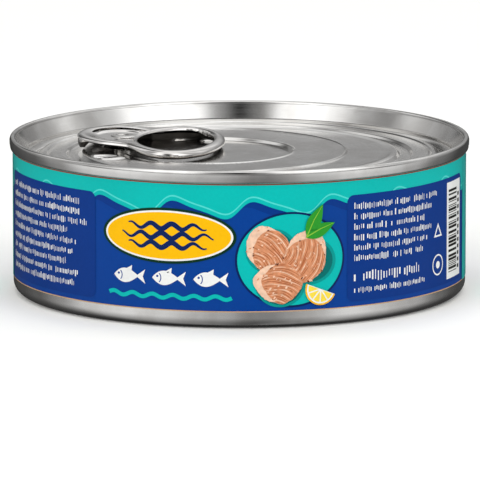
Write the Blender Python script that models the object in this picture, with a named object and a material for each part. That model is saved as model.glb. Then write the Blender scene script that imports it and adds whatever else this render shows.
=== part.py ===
"""A shut two-piece tuna can with a ring-pull end, standing upright.

The can's axis is +Z and its base ring rests on Z = 0. The pull tab lies on the lid towards -X.
Lengths are in metres and angles in radians. The drawn cup, the seamed lid with its rivet and the
ring-pull tab are the can's three real pieces. A shut can can't be seen into, so the cup is solid.
"""
from math import cos, pi, radians, sin, sqrt

import bmesh
import bpy
from mathutils import Matrix, Vector

MM = 0.001

# Overall size
SEAM_RADIUS = 43.5 * MM
CAN_HEIGHT = 29.5 * MM
WALL_RADIUS = 42.85 * MM
TURN_STEPS = 96
GAP = 0.3 * MM
MERGE_DISTANCE = 0.001 * MM
SHARP_ANGLE = 35.0

# Drawn cup
BASE_CORNER = 2.15 * MM
BASE_CORNER_STEPS = 6
BASE_RING_WIDTH = 1.7 * MM
BASE_RISE = 1.2 * MM
BASE_STEP_KNEE = (0.6 * MM, 0.42 * MM)
BASE_STEP_RUN = 1.44 * MM
BASE_BEAD_RADII = (19.0 * MM, 31.5 * MM)
BASE_BEAD_RISE = 0.5 * MM
BASE_BEAD_SLOPE = 1.0 * MM
WALL_TOP = 26.8 * MM
WALL_RIM_WIDTH = 0.95 * MM
CUP_FILL = 24.0 * MM

# Double seam and countersink of the lid
SEAM_LOWER_EDGE = 27.1 * MM
SEAM_CURL = 0.6 * MM
SEAM_INNER_RADIUS = 42.35 * MM
SEAM_THROAT = 0.5 * MM
SEAM_THROAT_INSET = 0.14 * MM
CROWN_STEPS = 8
CURL_STEPS = 4
CHUCK_FOOT = (40.95 * MM, 25.5 * MM)
COUNTERSINK_RADIUS = 39.75 * MM
COUNTERSINK_FLOOR = 24.75 * MM
COUNTERSINK_BEND = 0.75 * MM
COUNTERSINK_STEPS = 4

# Rings of the lid's panel, from the countersink inwards
PANEL_WALL_FOOT = (38.7 * MM, 25.3 * MM)
RIDGE_OUTER = (37.7 * MM, 26.2 * MM)
RIDGE_TOP = (37.0 * MM, 26.45 * MM)
RIDGE_INNER = (36.4 * MM, 26.4 * MM)
SCORE_FLOOR = (36.1 * MM, 26.15 * MM)
LEDGE_OUTER = (35.7 * MM, 26.35 * MM)
LEDGE_INNER = (32.7 * MM, 26.35 * MM)
GROOVE_OUTER = (32.1 * MM, 25.75 * MM)
GROOVE_INNER = (30.6 * MM, 25.75 * MM)
PANEL_EDGE = (29.7 * MM, 26.5 * MM)
PANEL_FLAT = (29.1 * MM, 26.6 * MM)

# Finger well under the ring's end
WELL_CENTRE_X = -5.6 * MM
WELL_RADIUS = 15.6 * MM
WELL_WALL = 0.8 * MM
WELL_DEPTH = 0.6 * MM
WELL_STEPS = 64

# Rivet, drawn up out of the lid and headed over the tab
RIVET_DISTANCE = 22.7 * MM
RIVET_BOSS_RADIUS = 4.0 * MM
RIVET_BOSS_FLAT = 2.8 * MM
RIVET_BOSS_TOP = 26.9 * MM
RIVET_BOSS_FOOT = 26.5 * MM
RIVET_POST_RADIUS = 1.6 * MM
RIVET_HEAD_RADIUS = 3.0 * MM
RIVET_HEAD_FOOT = 28.3 * MM
RIVET_HEAD_HEIGHT = 0.5 * MM
RIVET_HEAD_FLAT = 1.86 * MM
RIVET_HEAD_SIDE = 0.18 * MM
RIVET_STEPS = 32

# Pull tab, in its own frame: the rivet is the origin and the nose points along +X
TAB_YAW = 0.24
TAB_PITCH = 0.047
TAB_ROLL = 0.025
TAB_UNDERSIDE = 27.25 * MM
TAB_THICKNESS = 1.6 * MM
TAB_EDGE = 0.7 * MM
TAB_WEB = (0.15 * MM, 0.6 * MM)
NOSE_RADIUS = 9.0 * MM
NOSE_RIM = 2.1 * MM
RING_CENTRE = -11.0 * MM
RING_HALF_LENGTH = 8.2 * MM
RING_HALF_WIDTH = 14.1 * MM
NECK_HALF_WIDTH = 9.6 * MM
NECK_SINE = 0.8
HOLE_CENTRE = -10.1 * MM
HOLE_HALF_LENGTH = 6.9 * MM
HOLE_HALF_WIDTH = 11.1 * MM
HOLE_NARROWING = 0.16
TAB_OUTLINE_STEPS = 72
TAB_OUTLINE_SPREAD = 2
HOLE_STEPS = 48
PIVOT_HOLE_RADIUS = 1.95 * MM
SLOT_RADIUS = 6.0 * MM
SLOT_WIDTH = 0.7 * MM
SLOT_MIDDLE = radians(-61.0)
SLOT_SPAN = radians(120.0)
SLOT_STEPS = 16
LIP_HALF_WIDTH = 3.2 * MM
LIP_TIP_HALF_WIDTH = 1.92 * MM
LIP_REACH = (7.2 * MM, 8.5 * MM)
LIP_DEPTH = 0.7 * MM
LIP_TOP = 0.96 * MM


def clear_scene():
    """Removes what the open file holds, so that the can is alone in it."""
    for old in list(bpy.context.scene.objects):
        bpy.data.objects.remove(old, do_unlink=True)


def make_material(name, colour, metallic, roughness):
    """A Principled material of one colour."""
    material = bpy.data.materials.new(name)
    material.use_nodes = True
    shader = material.node_tree.nodes["Principled BSDF"]
    shader.inputs["Base Color"].default_value = (*colour, 1.0)
    shader.inputs["Metallic"].default_value = metallic
    shader.inputs["Roughness"].default_value = roughness
    material.diffuse_color = (*colour, 1.0)
    return material


def add_object(name, data, material=None):
    """Puts a mesh or a curve in the scene under a name."""
    thing = bpy.data.objects.new(name, data)
    bpy.context.scene.collection.objects.link(thing)
    if material is not None:
        data.materials.append(material)
    return thing


def arc(centre, radius, start, end, steps):
    """Points of an arc in the profile's plane; angles are in degrees from +X towards +Z."""
    turns = [radians(start + (end - start) * i / steps) for i in range(steps + 1)]
    return [(centre[0] + radius * cos(a), centre[1] + radius * sin(a)) for a in turns]


def turned(name, profile, steps, material=None, offset=(0.0, 0.0)):
    """Turns a profile of (radius, height) points, given top to bottom down its outer side, about Z."""
    mesh = bpy.data.meshes.new(name)
    points = [(radius, 0.0, height) for radius, height in profile]
    mesh.from_pydata(points, [(i, i + 1) for i in range(len(points) - 1)], [])
    thing = add_object(name, mesh, material)
    screw = thing.modifiers.new("turn", "SCREW")
    screw.axis = "Z"
    screw.steps = steps
    screw.render_steps = steps
    screw.use_merge_vertices = True
    screw.merge_threshold = MERGE_DISTANCE
    thing.location = (offset[0], offset[1], 0.0)
    return thing


def hide_tool(thing):
    """Marks an object as a cutter or a guide."""
    thing.hide_render = True
    thing.display_type = "WIRE"


def add_boolean(thing, tool, operation):
    """Cuts or joins with another object, which becomes a tool."""
    boolean = thing.modifiers.new(tool.name, "BOOLEAN")
    boolean.operation = operation
    boolean.solver = "EXACT"
    boolean.object = tool
    hide_tool(tool)


def settle(thing):
    """Turns the modifiers into plain mesh and shades it smooth up to its creases."""
    bpy.context.view_layer.update()
    evaluated = thing.evaluated_get(bpy.context.evaluated_depsgraph_get())
    mesh = bpy.data.meshes.new_from_object(evaluated)
    materials = [slot.material for slot in thing.material_slots]
    thing.modifiers.clear()
    thing.data = mesh
    mesh.materials.clear()
    for material in materials:
        mesh.materials.append(material)
    mesh.shade_smooth()
    mesh.set_sharp_from_angle(angle=radians(SHARP_ANGLE))
    return thing


def remove_tools():
    """Removes the cutters and guides once they have done their work."""
    for thing in list(bpy.context.scene.objects):
        if thing.hide_render:
            bpy.data.objects.remove(thing, do_unlink=True)


def cup_profile():
    """The cup's outline: its filled top, the wall, the round corner, the base ring and the base."""
    rim_inner = WALL_RADIUS - WALL_RIM_WIDTH
    ring_outer = WALL_RADIUS - BASE_CORNER
    ring_inner = ring_outer - BASE_RING_WIDTH
    bead_inner, bead_outer = BASE_BEAD_RADII
    bead_top = BASE_RISE + BASE_BEAD_RISE
    knee_run, knee_rise = BASE_STEP_KNEE
    top = [(0.0, CUP_FILL), (rim_inner, CUP_FILL), (rim_inner, WALL_TOP), (WALL_RADIUS, WALL_TOP)]
    corner = arc((ring_outer, BASE_CORNER), BASE_CORNER, 0.0, -90.0, BASE_CORNER_STEPS)
    step = [(ring_inner, 0.0), (ring_inner - knee_run, knee_rise), (ring_inner - BASE_STEP_RUN, BASE_RISE)]
    beads = [(bead_outer, BASE_RISE), (bead_outer - BASE_BEAD_SLOPE, bead_top)]
    beads += [(bead_inner + BASE_BEAD_SLOPE, bead_top)]
    return top + corner + step + beads + [(bead_inner, BASE_RISE), (0.0, BASE_RISE)]


def lid_profile():
    """The lid's outline: panel, rings, countersink, chuck wall, seam and the plug inside the cup."""
    crown_mid = 0.5 * (SEAM_RADIUS + SEAM_INNER_RADIUS)
    crown = 0.5 * (SEAM_RADIUS - SEAM_INNER_RADIUS)
    throat = CAN_HEIGHT - SEAM_THROAT
    plug_radius = WALL_RADIUS - WALL_RIM_WIDTH - GAP
    plug_floor = CUP_FILL + GAP
    panel = [(0.0, PANEL_FLAT[1]), PANEL_FLAT, PANEL_EDGE]
    panel += [GROOVE_INNER, GROOVE_OUTER, LEDGE_INNER, LEDGE_OUTER]
    score = [SCORE_FLOOR, RIDGE_INNER, RIDGE_TOP, RIDGE_OUTER, PANEL_WALL_FOOT]
    sink_centre = (COUNTERSINK_RADIUS, COUNTERSINK_FLOOR + COUNTERSINK_BEND)
    sink = arc(sink_centre, COUNTERSINK_BEND, -150.0, -30.0, COUNTERSINK_STEPS)
    wall = [CHUCK_FOOT, (SEAM_INNER_RADIUS - SEAM_THROAT_INSET, throat - crown)]
    top = arc((crown_mid, CAN_HEIGHT - crown), crown, 180.0, 0.0, CROWN_STEPS)
    curl_centre = (SEAM_RADIUS - SEAM_CURL, SEAM_LOWER_EDGE + SEAM_CURL)
    curl = arc(curl_centre, SEAM_CURL, 0.0, -90.0, CURL_STEPS)
    plug = [(plug_radius, SEAM_LOWER_EDGE), (plug_radius, plug_floor), (0.0, plug_floor)]
    return panel + score + sink + wall + top + curl + plug


def rivet_place():
    """The rivet's place on the lid."""
    return -RIVET_DISTANCE * cos(TAB_YAW), RIVET_DISTANCE * sin(TAB_YAW)


def make_cup(material):
    """The drawn cup, whose wall carries the print."""
    return settle(turned("can_body", cup_profile(), TURN_STEPS, material))


def make_lid(material):
    """The seamed lid with its finger well and its rivet."""
    lid = turned("lid", lid_profile(), TURN_STEPS, material)
    panel_top = PANEL_FLAT[1]
    well_floor = panel_top - WELL_DEPTH
    above = panel_top + WELL_DEPTH
    wide, narrow = WELL_RADIUS + WELL_WALL, WELL_RADIUS - WELL_WALL
    well_profile = [(0.0, above), (wide, above), (narrow, well_floor), (0.0, well_floor)]
    well = turned("finger_well", well_profile, WELL_STEPS, offset=(WELL_CENTRE_X, 0.0))
    head_top = RIVET_HEAD_FOOT + RIVET_HEAD_HEIGHT
    rivet_profile = [
        (0.0, head_top),
        (RIVET_HEAD_FLAT, head_top),
        (RIVET_HEAD_RADIUS, RIVET_HEAD_FOOT + RIVET_HEAD_SIDE),
        (RIVET_HEAD_RADIUS, RIVET_HEAD_FOOT),
        (RIVET_POST_RADIUS, RIVET_HEAD_FOOT),
        (RIVET_POST_RADIUS, RIVET_BOSS_TOP),
        (RIVET_BOSS_FLAT, RIVET_BOSS_TOP),
        (RIVET_BOSS_RADIUS, RIVET_BOSS_FOOT),
        (RIVET_BOSS_RADIUS, well_floor),
        (0.0, well_floor),
    ]
    rivet = turned("rivet", rivet_profile, RIVET_STEPS, offset=rivet_place())
    add_boolean(lid, well, "DIFFERENCE")
    add_boolean(lid, rivet, "UNION")
    return settle(lid)


def reach_of_ellipse(origin_x, angle, centre_x, half_length, half_width):
    """How far a ray from (origin_x, 0) runs to an ellipse's far side; 0 if it misses the ellipse."""
    shift = origin_x - centre_x
    a = (cos(angle) / half_length) ** 2 + (sin(angle) / half_width) ** 2
    b = shift * cos(angle) / half_length ** 2
    c = (shift / half_length) ** 2 - 1.0
    root = b * b - a * c
    return (-b + sqrt(root)) / a if root > 0.0 else 0.0


def tab_reach(angle):
    """The tab's outline about the neck's middle: a wide oval ring, a round nose and the neck between."""
    middle = 0.5 * RING_CENTRE
    ring = reach_of_ellipse(middle, angle, RING_CENTRE, RING_HALF_LENGTH, RING_HALF_WIDTH)
    nose = reach_of_ellipse(middle, angle, 0.0, NOSE_RADIUS, NOSE_RADIUS)
    neck = NECK_HALF_WIDTH if abs(sin(angle)) > NECK_SINE else 0.0
    return max(ring, nose, neck)


def tab_outline(inset):
    """Points round the tab, rounded where its ovals meet and drawn in by an inset."""
    middle = 0.5 * RING_CENTRE
    spread = range(-TAB_OUTLINE_SPREAD, TAB_OUTLINE_SPREAD + 1)
    points = []
    for i in range(TAB_OUTLINE_STEPS):
        angles = [2.0 * pi * (i + k) / TAB_OUTLINE_STEPS for k in spread]
        reach = sum(tab_reach(a) for a in angles) / len(spread) - inset
        angle = 2.0 * pi * i / TAB_OUTLINE_STEPS
        points.append((middle + reach * cos(angle), reach * sin(angle)))
    return points


def hole_outline(grow):
    """Points round the finger hole, clockwise, which is narrower towards the nose."""
    points = []
    for i in range(HOLE_STEPS):
        angle = -2.0 * pi * i / HOLE_STEPS
        narrow = 1.0 - HOLE_NARROWING * cos(angle)
        x = HOLE_CENTRE + (HOLE_HALF_LENGTH + grow) * cos(angle)
        points.append((x, (HOLE_HALF_WIDTH * narrow + grow) * sin(angle)))
    return points


def add_loop(curve, points):
    """Adds a closed spline through points to a flat curve."""
    spline = curve.splines.new("POLY")
    spline.points.add(len(points) - 1)
    for point, (x, y) in zip(spline.points, points):
        point.co = (x, y, 0.0, 1.0)
    spline.use_cyclic_u = True


def tab_plate():
    """The tab's curled blank as a plate with round edges and the finger hole."""
    curve = bpy.data.curves.new("tab_blank", "CURVE")
    curve.dimensions = "2D"
    curve.fill_mode = "BOTH"
    curve.extrude = 0.5 * TAB_THICKNESS - TAB_EDGE
    curve.bevel_depth = TAB_EDGE
    curve.bevel_resolution = 1
    add_loop(curve, tab_outline(TAB_EDGE))
    add_loop(curve, hole_outline(TAB_EDGE))
    blank = add_object("tab_blank", curve)
    bpy.context.view_layer.update()
    mesh = bpy.data.meshes.new_from_object(blank.evaluated_get(bpy.context.evaluated_depsgraph_get()))
    hide_tool(blank)
    shaped = bmesh.new()
    shaped.from_mesh(mesh)
    bmesh.ops.remove_doubles(shaped, verts=shaped.verts, dist=0.01 * MM)
    bmesh.ops.translate(shaped, verts=shaped.verts, vec=Vector((0.0, 0.0, 0.5 * TAB_THICKNESS)))
    bmesh.ops.recalc_face_normals(shaped, faces=shaped.faces)
    shaped.to_mesh(mesh)
    shaped.free()
    return mesh


def prism(name, points, low, high):
    """A closed prism over a counter-clockwise outline."""
    count = len(points)
    corners = [(x, y, low) for x, y in points] + [(x, y, high) for x, y in points]
    sides = [(i, (i + 1) % count, count + (i + 1) % count, count + i) for i in range(count)]
    caps = [tuple(reversed(range(count))), tuple(range(count, 2 * count))]
    mesh = bpy.data.meshes.new(name)
    mesh.from_pydata(corners, [], sides + caps)
    return add_object(name, mesh)


def circle_points(radius, steps):
    """A counter-clockwise circle about the origin."""
    turns = [2.0 * pi * i / steps for i in range(steps)]
    return [(radius * cos(a), radius * sin(a)) for a in turns]


def slot_points():
    """The curved slot that frees the web's tongue, on the far side of the rivet."""
    turns = [SLOT_MIDDLE + SLOT_SPAN * (i / SLOT_STEPS - 0.5) for i in range(SLOT_STEPS + 1)]
    wide, narrow = SLOT_RADIUS + 0.5 * SLOT_WIDTH, SLOT_RADIUS - 0.5 * SLOT_WIDTH
    outer = [(wide * cos(a), wide * sin(a)) for a in turns]
    inner = [(narrow * cos(a), narrow * sin(a)) for a in turns]
    return outer + inner[::-1]


def make_tab(material):
    """The ring-pull tab: rim, sunken web round the rivet, curved slot and the lip at its nose."""
    tab = add_object("pull_tab", tab_plate(), material)
    above = 2.0 * TAB_THICKNESS
    web_low, web_high = TAB_WEB
    web_circle = circle_points(NOSE_RADIUS - NOSE_RIM, RIVET_STEPS)
    pocket = prism("pocket", web_circle, web_high, above)
    hollow = prism("hollow", web_circle, -above, web_low)
    pivot = prism("pivot_hole", circle_points(PIVOT_HOLE_RADIUS, RIVET_STEPS), -above, above)
    slot = prism("slot", slot_points(), -above, above)
    near, far = LIP_REACH
    lip_outline = [(near, -LIP_HALF_WIDTH), (far, -LIP_TIP_HALF_WIDTH)]
    lip_outline += [(far, LIP_TIP_HALF_WIDTH), (near, LIP_HALF_WIDTH)]
    lip = prism("lip", lip_outline, -LIP_DEPTH, LIP_TOP)
    for tool in (pocket, hollow, pivot, slot):
        add_boolean(tab, tool, "DIFFERENCE")
    add_boolean(tab, lip, "UNION")
    settle(tab)
    x, y = rivet_place()
    turn = Matrix.Rotation(pi - TAB_YAW, 4, "Z") @ Matrix.Rotation(-TAB_PITCH, 4, "Y")
    turn = turn @ Matrix.Rotation(-TAB_ROLL, 4, "X")
    tab.matrix_world = Matrix.Translation((x, y, TAB_UNDERSIDE)) @ turn
    return tab


def build():
    """Makes the three pieces."""
    clear_scene()
    make_cup(make_material("printed_tinplate", (0.0, 0.52, 0.48), 0.3, 0.28))
    make_lid(make_material("lid_tinplate", (0.72, 0.71, 0.7), 1.0, 0.22))
    make_tab(make_material("tab_steel", (0.76, 0.75, 0.74), 1.0, 0.18))
    remove_tools()


build()
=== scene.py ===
"""Looks of a shut, shallow fish can that stands on a pale floor with its pull tab towards the left.

The can has three real pieces: a drawn cup of printed and varnished tinplate, an easy-open lid whose
double seam grips the cup, and a ring tab of bent steel on the lid's rivet. Each is a class here, and
so are the print, the floor, the lights and the camera. Sizes are in millimetres and angles in degrees,
unless a line says otherwise; MM turns millimetres into metres. The can's axis is +Z and its front,
which the camera sees, is -Y. A pair of numbers named edge or fade is where a soft change starts and
where it ends.
"""

import logging
import math
import random
from collections.abc import Callable
from dataclasses import dataclass, field
from enum import Enum, IntEnum

import bmesh
import bpy
from mathutils import Matrix, Vector
from mathutils.geometry import tessellate_polygon

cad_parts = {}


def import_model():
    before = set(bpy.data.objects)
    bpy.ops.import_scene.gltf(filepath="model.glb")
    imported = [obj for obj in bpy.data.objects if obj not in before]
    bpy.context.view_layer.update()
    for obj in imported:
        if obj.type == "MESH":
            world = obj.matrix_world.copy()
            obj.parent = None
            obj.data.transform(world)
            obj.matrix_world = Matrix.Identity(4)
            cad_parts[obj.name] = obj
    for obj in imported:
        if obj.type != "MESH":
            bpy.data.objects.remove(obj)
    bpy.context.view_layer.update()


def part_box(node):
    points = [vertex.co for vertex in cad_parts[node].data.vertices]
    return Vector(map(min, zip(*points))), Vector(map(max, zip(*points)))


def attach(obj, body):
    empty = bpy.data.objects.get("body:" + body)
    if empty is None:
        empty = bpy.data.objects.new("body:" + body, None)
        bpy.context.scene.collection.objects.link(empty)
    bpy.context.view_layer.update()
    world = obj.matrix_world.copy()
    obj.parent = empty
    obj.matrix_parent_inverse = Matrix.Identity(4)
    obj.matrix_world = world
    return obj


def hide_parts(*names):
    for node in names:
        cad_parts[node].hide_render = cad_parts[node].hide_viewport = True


LOG = logging.getLogger("fish_can")
MM = 0.001
ROOT = "root"
MATH = "ShaderNodeMath"
MAP_RANGE = "ShaderNodeMapRange"
NOISE = "ShaderNodeTexNoise"
RANDOM = "FunctionNodeRandomValue"
NOISE_EDGE = (0.3, 0.7)  # most of a noise texture's values lie between these
WELD = 0.0005 * MM  # points of a turned piece that lie closer than this are one
PRINT_WELD = 0.001 * MM  # and so are those of the print

Point = tuple[float, float]
Outline = list[Point]
Row = list[tuple[float, float, float]]


def linear(code: str) -> tuple[float, float, float, float]:
    """Turns an sRGB hex code into a linear colour.

    Args:
        code: The colour as "#RRGGBB".

    Returns:
        Linear red, green and blue, and an alpha of one.
    """
    channels = [int(code[i : i + 2], 16) / 255.0 for i in (1, 3, 5)]
    bent = [c / 12.92 if c <= 0.04045 else ((c + 0.055) / 1.055) ** 2.4 for c in channels]
    return bent[0], bent[1], bent[2], 1.0


def ramp(low: float, high: float, value: float) -> float:
    """Rises evenly from 0 at low to 1 at high."""
    return min(max((value - low) / (high - low), 0.0), 1.0)


def smoothstep(low: float, high: float, value: float) -> float:
    """Rises softly from 0 at low to 1 at high."""
    t = ramp(low, high, value)
    return t * t * (3.0 - 2.0 * t)


def bump(distance: float, half_width: float) -> float:
    """A rounded bead's height: 1 at its middle and 0 beyond its half width."""
    t = min(abs(distance) / half_width, 1.0)
    return (1.0 - t * t) ** 2


def feed(tree: bpy.types.NodeTree, node: bpy.types.Node, inputs: dict) -> None:
    """Sets or links a node's inputs.

    Args:
        tree: The node tree that holds the node.
        node: The node.
        inputs: By the input's name or number, a value, an output socket, or a node whose first live
            output is meant.
    """
    for name, value in inputs.items():
        if isinstance(value, bpy.types.Node):
            value = next(socket for socket in value.outputs if socket.enabled)
        if isinstance(value, bpy.types.NodeSocket):
            tree.links.new(value, node.inputs[name])
        else:
            node.inputs[name].default_value = value


def add_node(
    tree: bpy.types.NodeTree, kind: str, inputs: dict | None = None, **settings: object
) -> bpy.types.Node:
    """Adds a node with its settings, values and links.

    Args:
        tree: The node tree that takes the node.
        kind: Blender's type name of the node.
        inputs: What goes into its inputs, as feed takes it.
        **settings: The node's own properties.

    Returns:
        The new node.
    """
    node = tree.nodes.new(kind)
    for name, value in settings.items():
        setattr(node, name, value)
    feed(tree, node, inputs or {})
    return node


def between(value: object, edge: Point, result: Point = (0.0, 1.0)) -> dict:
    """What goes into a Map Range node so that a value between two edges gives a result."""
    (start, end), (low, high) = edge, result
    return {"Value": value, "From Min": start, "From Max": end, "To Min": low, "To Max": high}


def set_stops(colours: bpy.types.ColorRamp, stops: list[tuple[float, tuple]]) -> None:
    """Sets a colour ramp's stops, with soft blends between them.

    Args:
        colours: The ramp of a Color Ramp node.
        stops: Each stop's place from 0 to 1 and its linear colour.
    """
    colours.interpolation = "EASE"
    while len(colours.elements) < len(stops):
        colours.elements.new(1.0)
    for element, (place, colour) in zip(colours.elements, stops):
        element.position = place
        element.color = colour


def link_object(name: str, data: bpy.types.ID) -> bpy.types.Object:
    """Puts a mesh, light or camera in the scene.

    Args:
        name: The object's name.
        data: What the object shows.

    Returns:
        The new object, at the origin.
    """
    thing = bpy.data.objects.new(name, data)
    bpy.context.scene.collection.objects.link(thing)
    return thing


def mesh_from(
    name: str, points: list[tuple], faces: list[tuple], edges: list[tuple] | None = None
) -> bpy.types.Mesh:
    """Makes a mesh.

    Args:
        name: The mesh's name.
        points: Its points, in metres.
        faces: The points' numbers round each face.
        edges: The points' numbers at the ends of each loose edge.

    Returns:
        The new mesh.
    """
    mesh = bpy.data.meshes.new(name)
    mesh.from_pydata(points, edges or [], faces)
    return mesh


def plain_mesh(thing: bpy.types.Object) -> bpy.types.Object:
    """Turns an object's modifiers into plain mesh and removes them.

    Args:
        thing: A mesh object with live modifiers.

    Returns:
        The same object with its shape in its mesh.
    """
    bpy.context.view_layer.update()
    shaped = bpy.data.meshes.new_from_object(thing.evaluated_get(bpy.context.evaluated_depsgraph_get()))
    thing.modifiers.clear()
    thing.data = shaped
    return thing


@dataclass
class ShapeTree:
    """A Geometry Nodes tree with named inputs, and its output group's plumbing."""

    name: str
    tree: bpy.types.NodeTree = field(init=False)
    given: bpy.types.Node = field(init=False)

    def __post_init__(self) -> None:
        """Starts the tree with a geometry input and a geometry output."""
        self.tree = bpy.data.node_groups.new(self.name, "GeometryNodeTree")
        for way in ("INPUT", "OUTPUT"):
            self.tree.interface.new_socket(name="Geometry", in_out=way, socket_type="NodeSocketGeometry")
        self.given = self.tree.nodes.new("NodeGroupInput")

    def size(self, name: str, kind: str = "NodeSocketFloat") -> bpy.types.NodeSocket:
        """Adds a named input and returns the socket that gives it."""
        self.tree.interface.new_socket(name=name, in_out="INPUT", socket_type=kind)
        return self.given.outputs[name]

    def node(self, kind: str, inputs: dict | None = None, **settings: object) -> bpy.types.Node:
        """Adds a node to this tree."""
        return add_node(self.tree, kind, inputs, **settings)

    def finish(self, geometry: bpy.types.Node, material: bpy.types.NodeSocket) -> None:
        """Ends the tree in Realize Instances, Set Material and the output.

        Args:
            geometry: The node that gives the finished shape.
            material: The input that gives the material.
        """
        real = self.node("GeometryNodeRealizeInstances", {"Geometry": geometry})
        dressed = self.node("GeometryNodeSetMaterial", {"Geometry": real, "Material": material})
        self.node("NodeGroupOutput", {"Geometry": dressed})

    def grow(self, name: str, base: bpy.types.Mesh, values: dict[str, object]) -> bpy.types.Object:
        """Runs the tree on a mesh.

        Args:
            name: The new piece's name.
            base: The mesh that the tree starts from.
            values: A value for each named input.

        Returns:
            The piece as plain mesh.
        """
        piece = link_object(name, base)
        modifier = piece.modifiers.new(self.name, "NODES")
        modifier.node_group = self.tree
        for item in self.tree.interface.items_tree:
            if item.in_out == "INPUT" and item.name in values:
                modifier[item.identifier] = values[item.name]
        return plain_mesh(piece)


def lathe_tree() -> ShapeTree:
    """Makes the tree that turns a profile of (radius, height) points about the can's axis.

    Returns:
        The tree, with inputs Points, Steps and Material.
    """
    lathe = ShapeTree("turn_profile")
    points = lathe.size("Points", "NodeSocketInt")
    steps = lathe.size("Steps", "NodeSocketInt")
    material = lathe.size("Material", "NodeSocketMaterial")
    columns = lathe.node(MATH, {0: steps, 1: 1.0}, operation="ADD")
    grid = lathe.node("GeometryNodeMeshGrid", {"Vertices X": points, "Vertices Y": columns})
    index = lathe.node("GeometryNodeInputIndex")
    middle = lathe.node(MATH, {0: index, 1: 0.5}, operation="ADD")
    share = lathe.node(MATH, {0: middle, 1: columns}, operation="DIVIDE")
    row = lathe.node(MATH, {0: share}, operation="FLOOR")
    passed = lathe.node(MATH, {0: row, 1: columns}, operation="MULTIPLY")
    column = lathe.node(MATH, {0: index, 1: passed}, operation="SUBTRACT")
    part = lathe.node(MATH, {0: column, 1: steps}, operation="DIVIDE")
    angle = lathe.node(MATH, {0: part, 1: math.tau}, operation="MULTIPLY")
    place = lathe.node("GeometryNodeInputPosition")
    picked = lathe.node(
        "GeometryNodeSampleIndex",
        {"Geometry": lathe.given.outputs["Geometry"], "Value": place, "Index": row},
        data_type="FLOAT_VECTOR",
    )
    turned = lathe.node(
        "ShaderNodeVectorRotate", {"Vector": picked, "Angle": angle}, rotation_type="Z_AXIS"
    )
    laid = lathe.node("GeometryNodeSetPosition", {"Geometry": grid, "Position": turned})
    closed = lathe.node("GeometryNodeMergeByDistance", {"Geometry": laid, "Distance": WELD})
    smooth = lathe.node("GeometryNodeSetShadeSmooth", {"Geometry": closed})
    lathe.finish(smooth, material)
    return lathe


def wrap_tree() -> ShapeTree:
    """Makes the tree that wraps flat artwork, (along the wall, up the wall), onto the cup.

    Returns:
        The tree, with inputs Radius, Lift and Material.
    """
    wrap = ShapeTree("wrap_on_wall")
    radius = wrap.size("Radius")
    lift = wrap.size("Lift")
    material = wrap.size("Material", "NodeSocketMaterial")
    flat = wrap.node("ShaderNodeSeparateXYZ", {0: wrap.node("GeometryNodeInputPosition")})
    angle = wrap.node(MATH, {0: flat.outputs["X"], 1: radius}, operation="DIVIDE")
    reach = wrap.node(MATH, {0: radius, 1: lift}, operation="ADD")
    sine = wrap.node(MATH, {0: angle}, operation="SINE")
    cosine = wrap.node(MATH, {0: angle}, operation="COSINE")
    across = wrap.node(MATH, {0: sine, 1: reach}, operation="MULTIPLY")
    front = wrap.node(MATH, {0: reach, 1: -1.0}, operation="MULTIPLY")
    back = wrap.node(MATH, {0: cosine, 1: front}, operation="MULTIPLY")
    place = wrap.node("ShaderNodeCombineXYZ", {0: across, 1: back, 2: flat.outputs["Y"]})
    laid = wrap.node(
        "GeometryNodeSetPosition", {"Geometry": wrap.given.outputs["Geometry"], "Position": place}
    )
    closed = wrap.node("GeometryNodeMergeByDistance", {"Geometry": laid, "Distance": PRINT_WELD})
    smooth = wrap.node("GeometryNodeSetShadeSmooth", {"Geometry": closed})
    wrap.finish(smooth, material)
    return wrap


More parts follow.
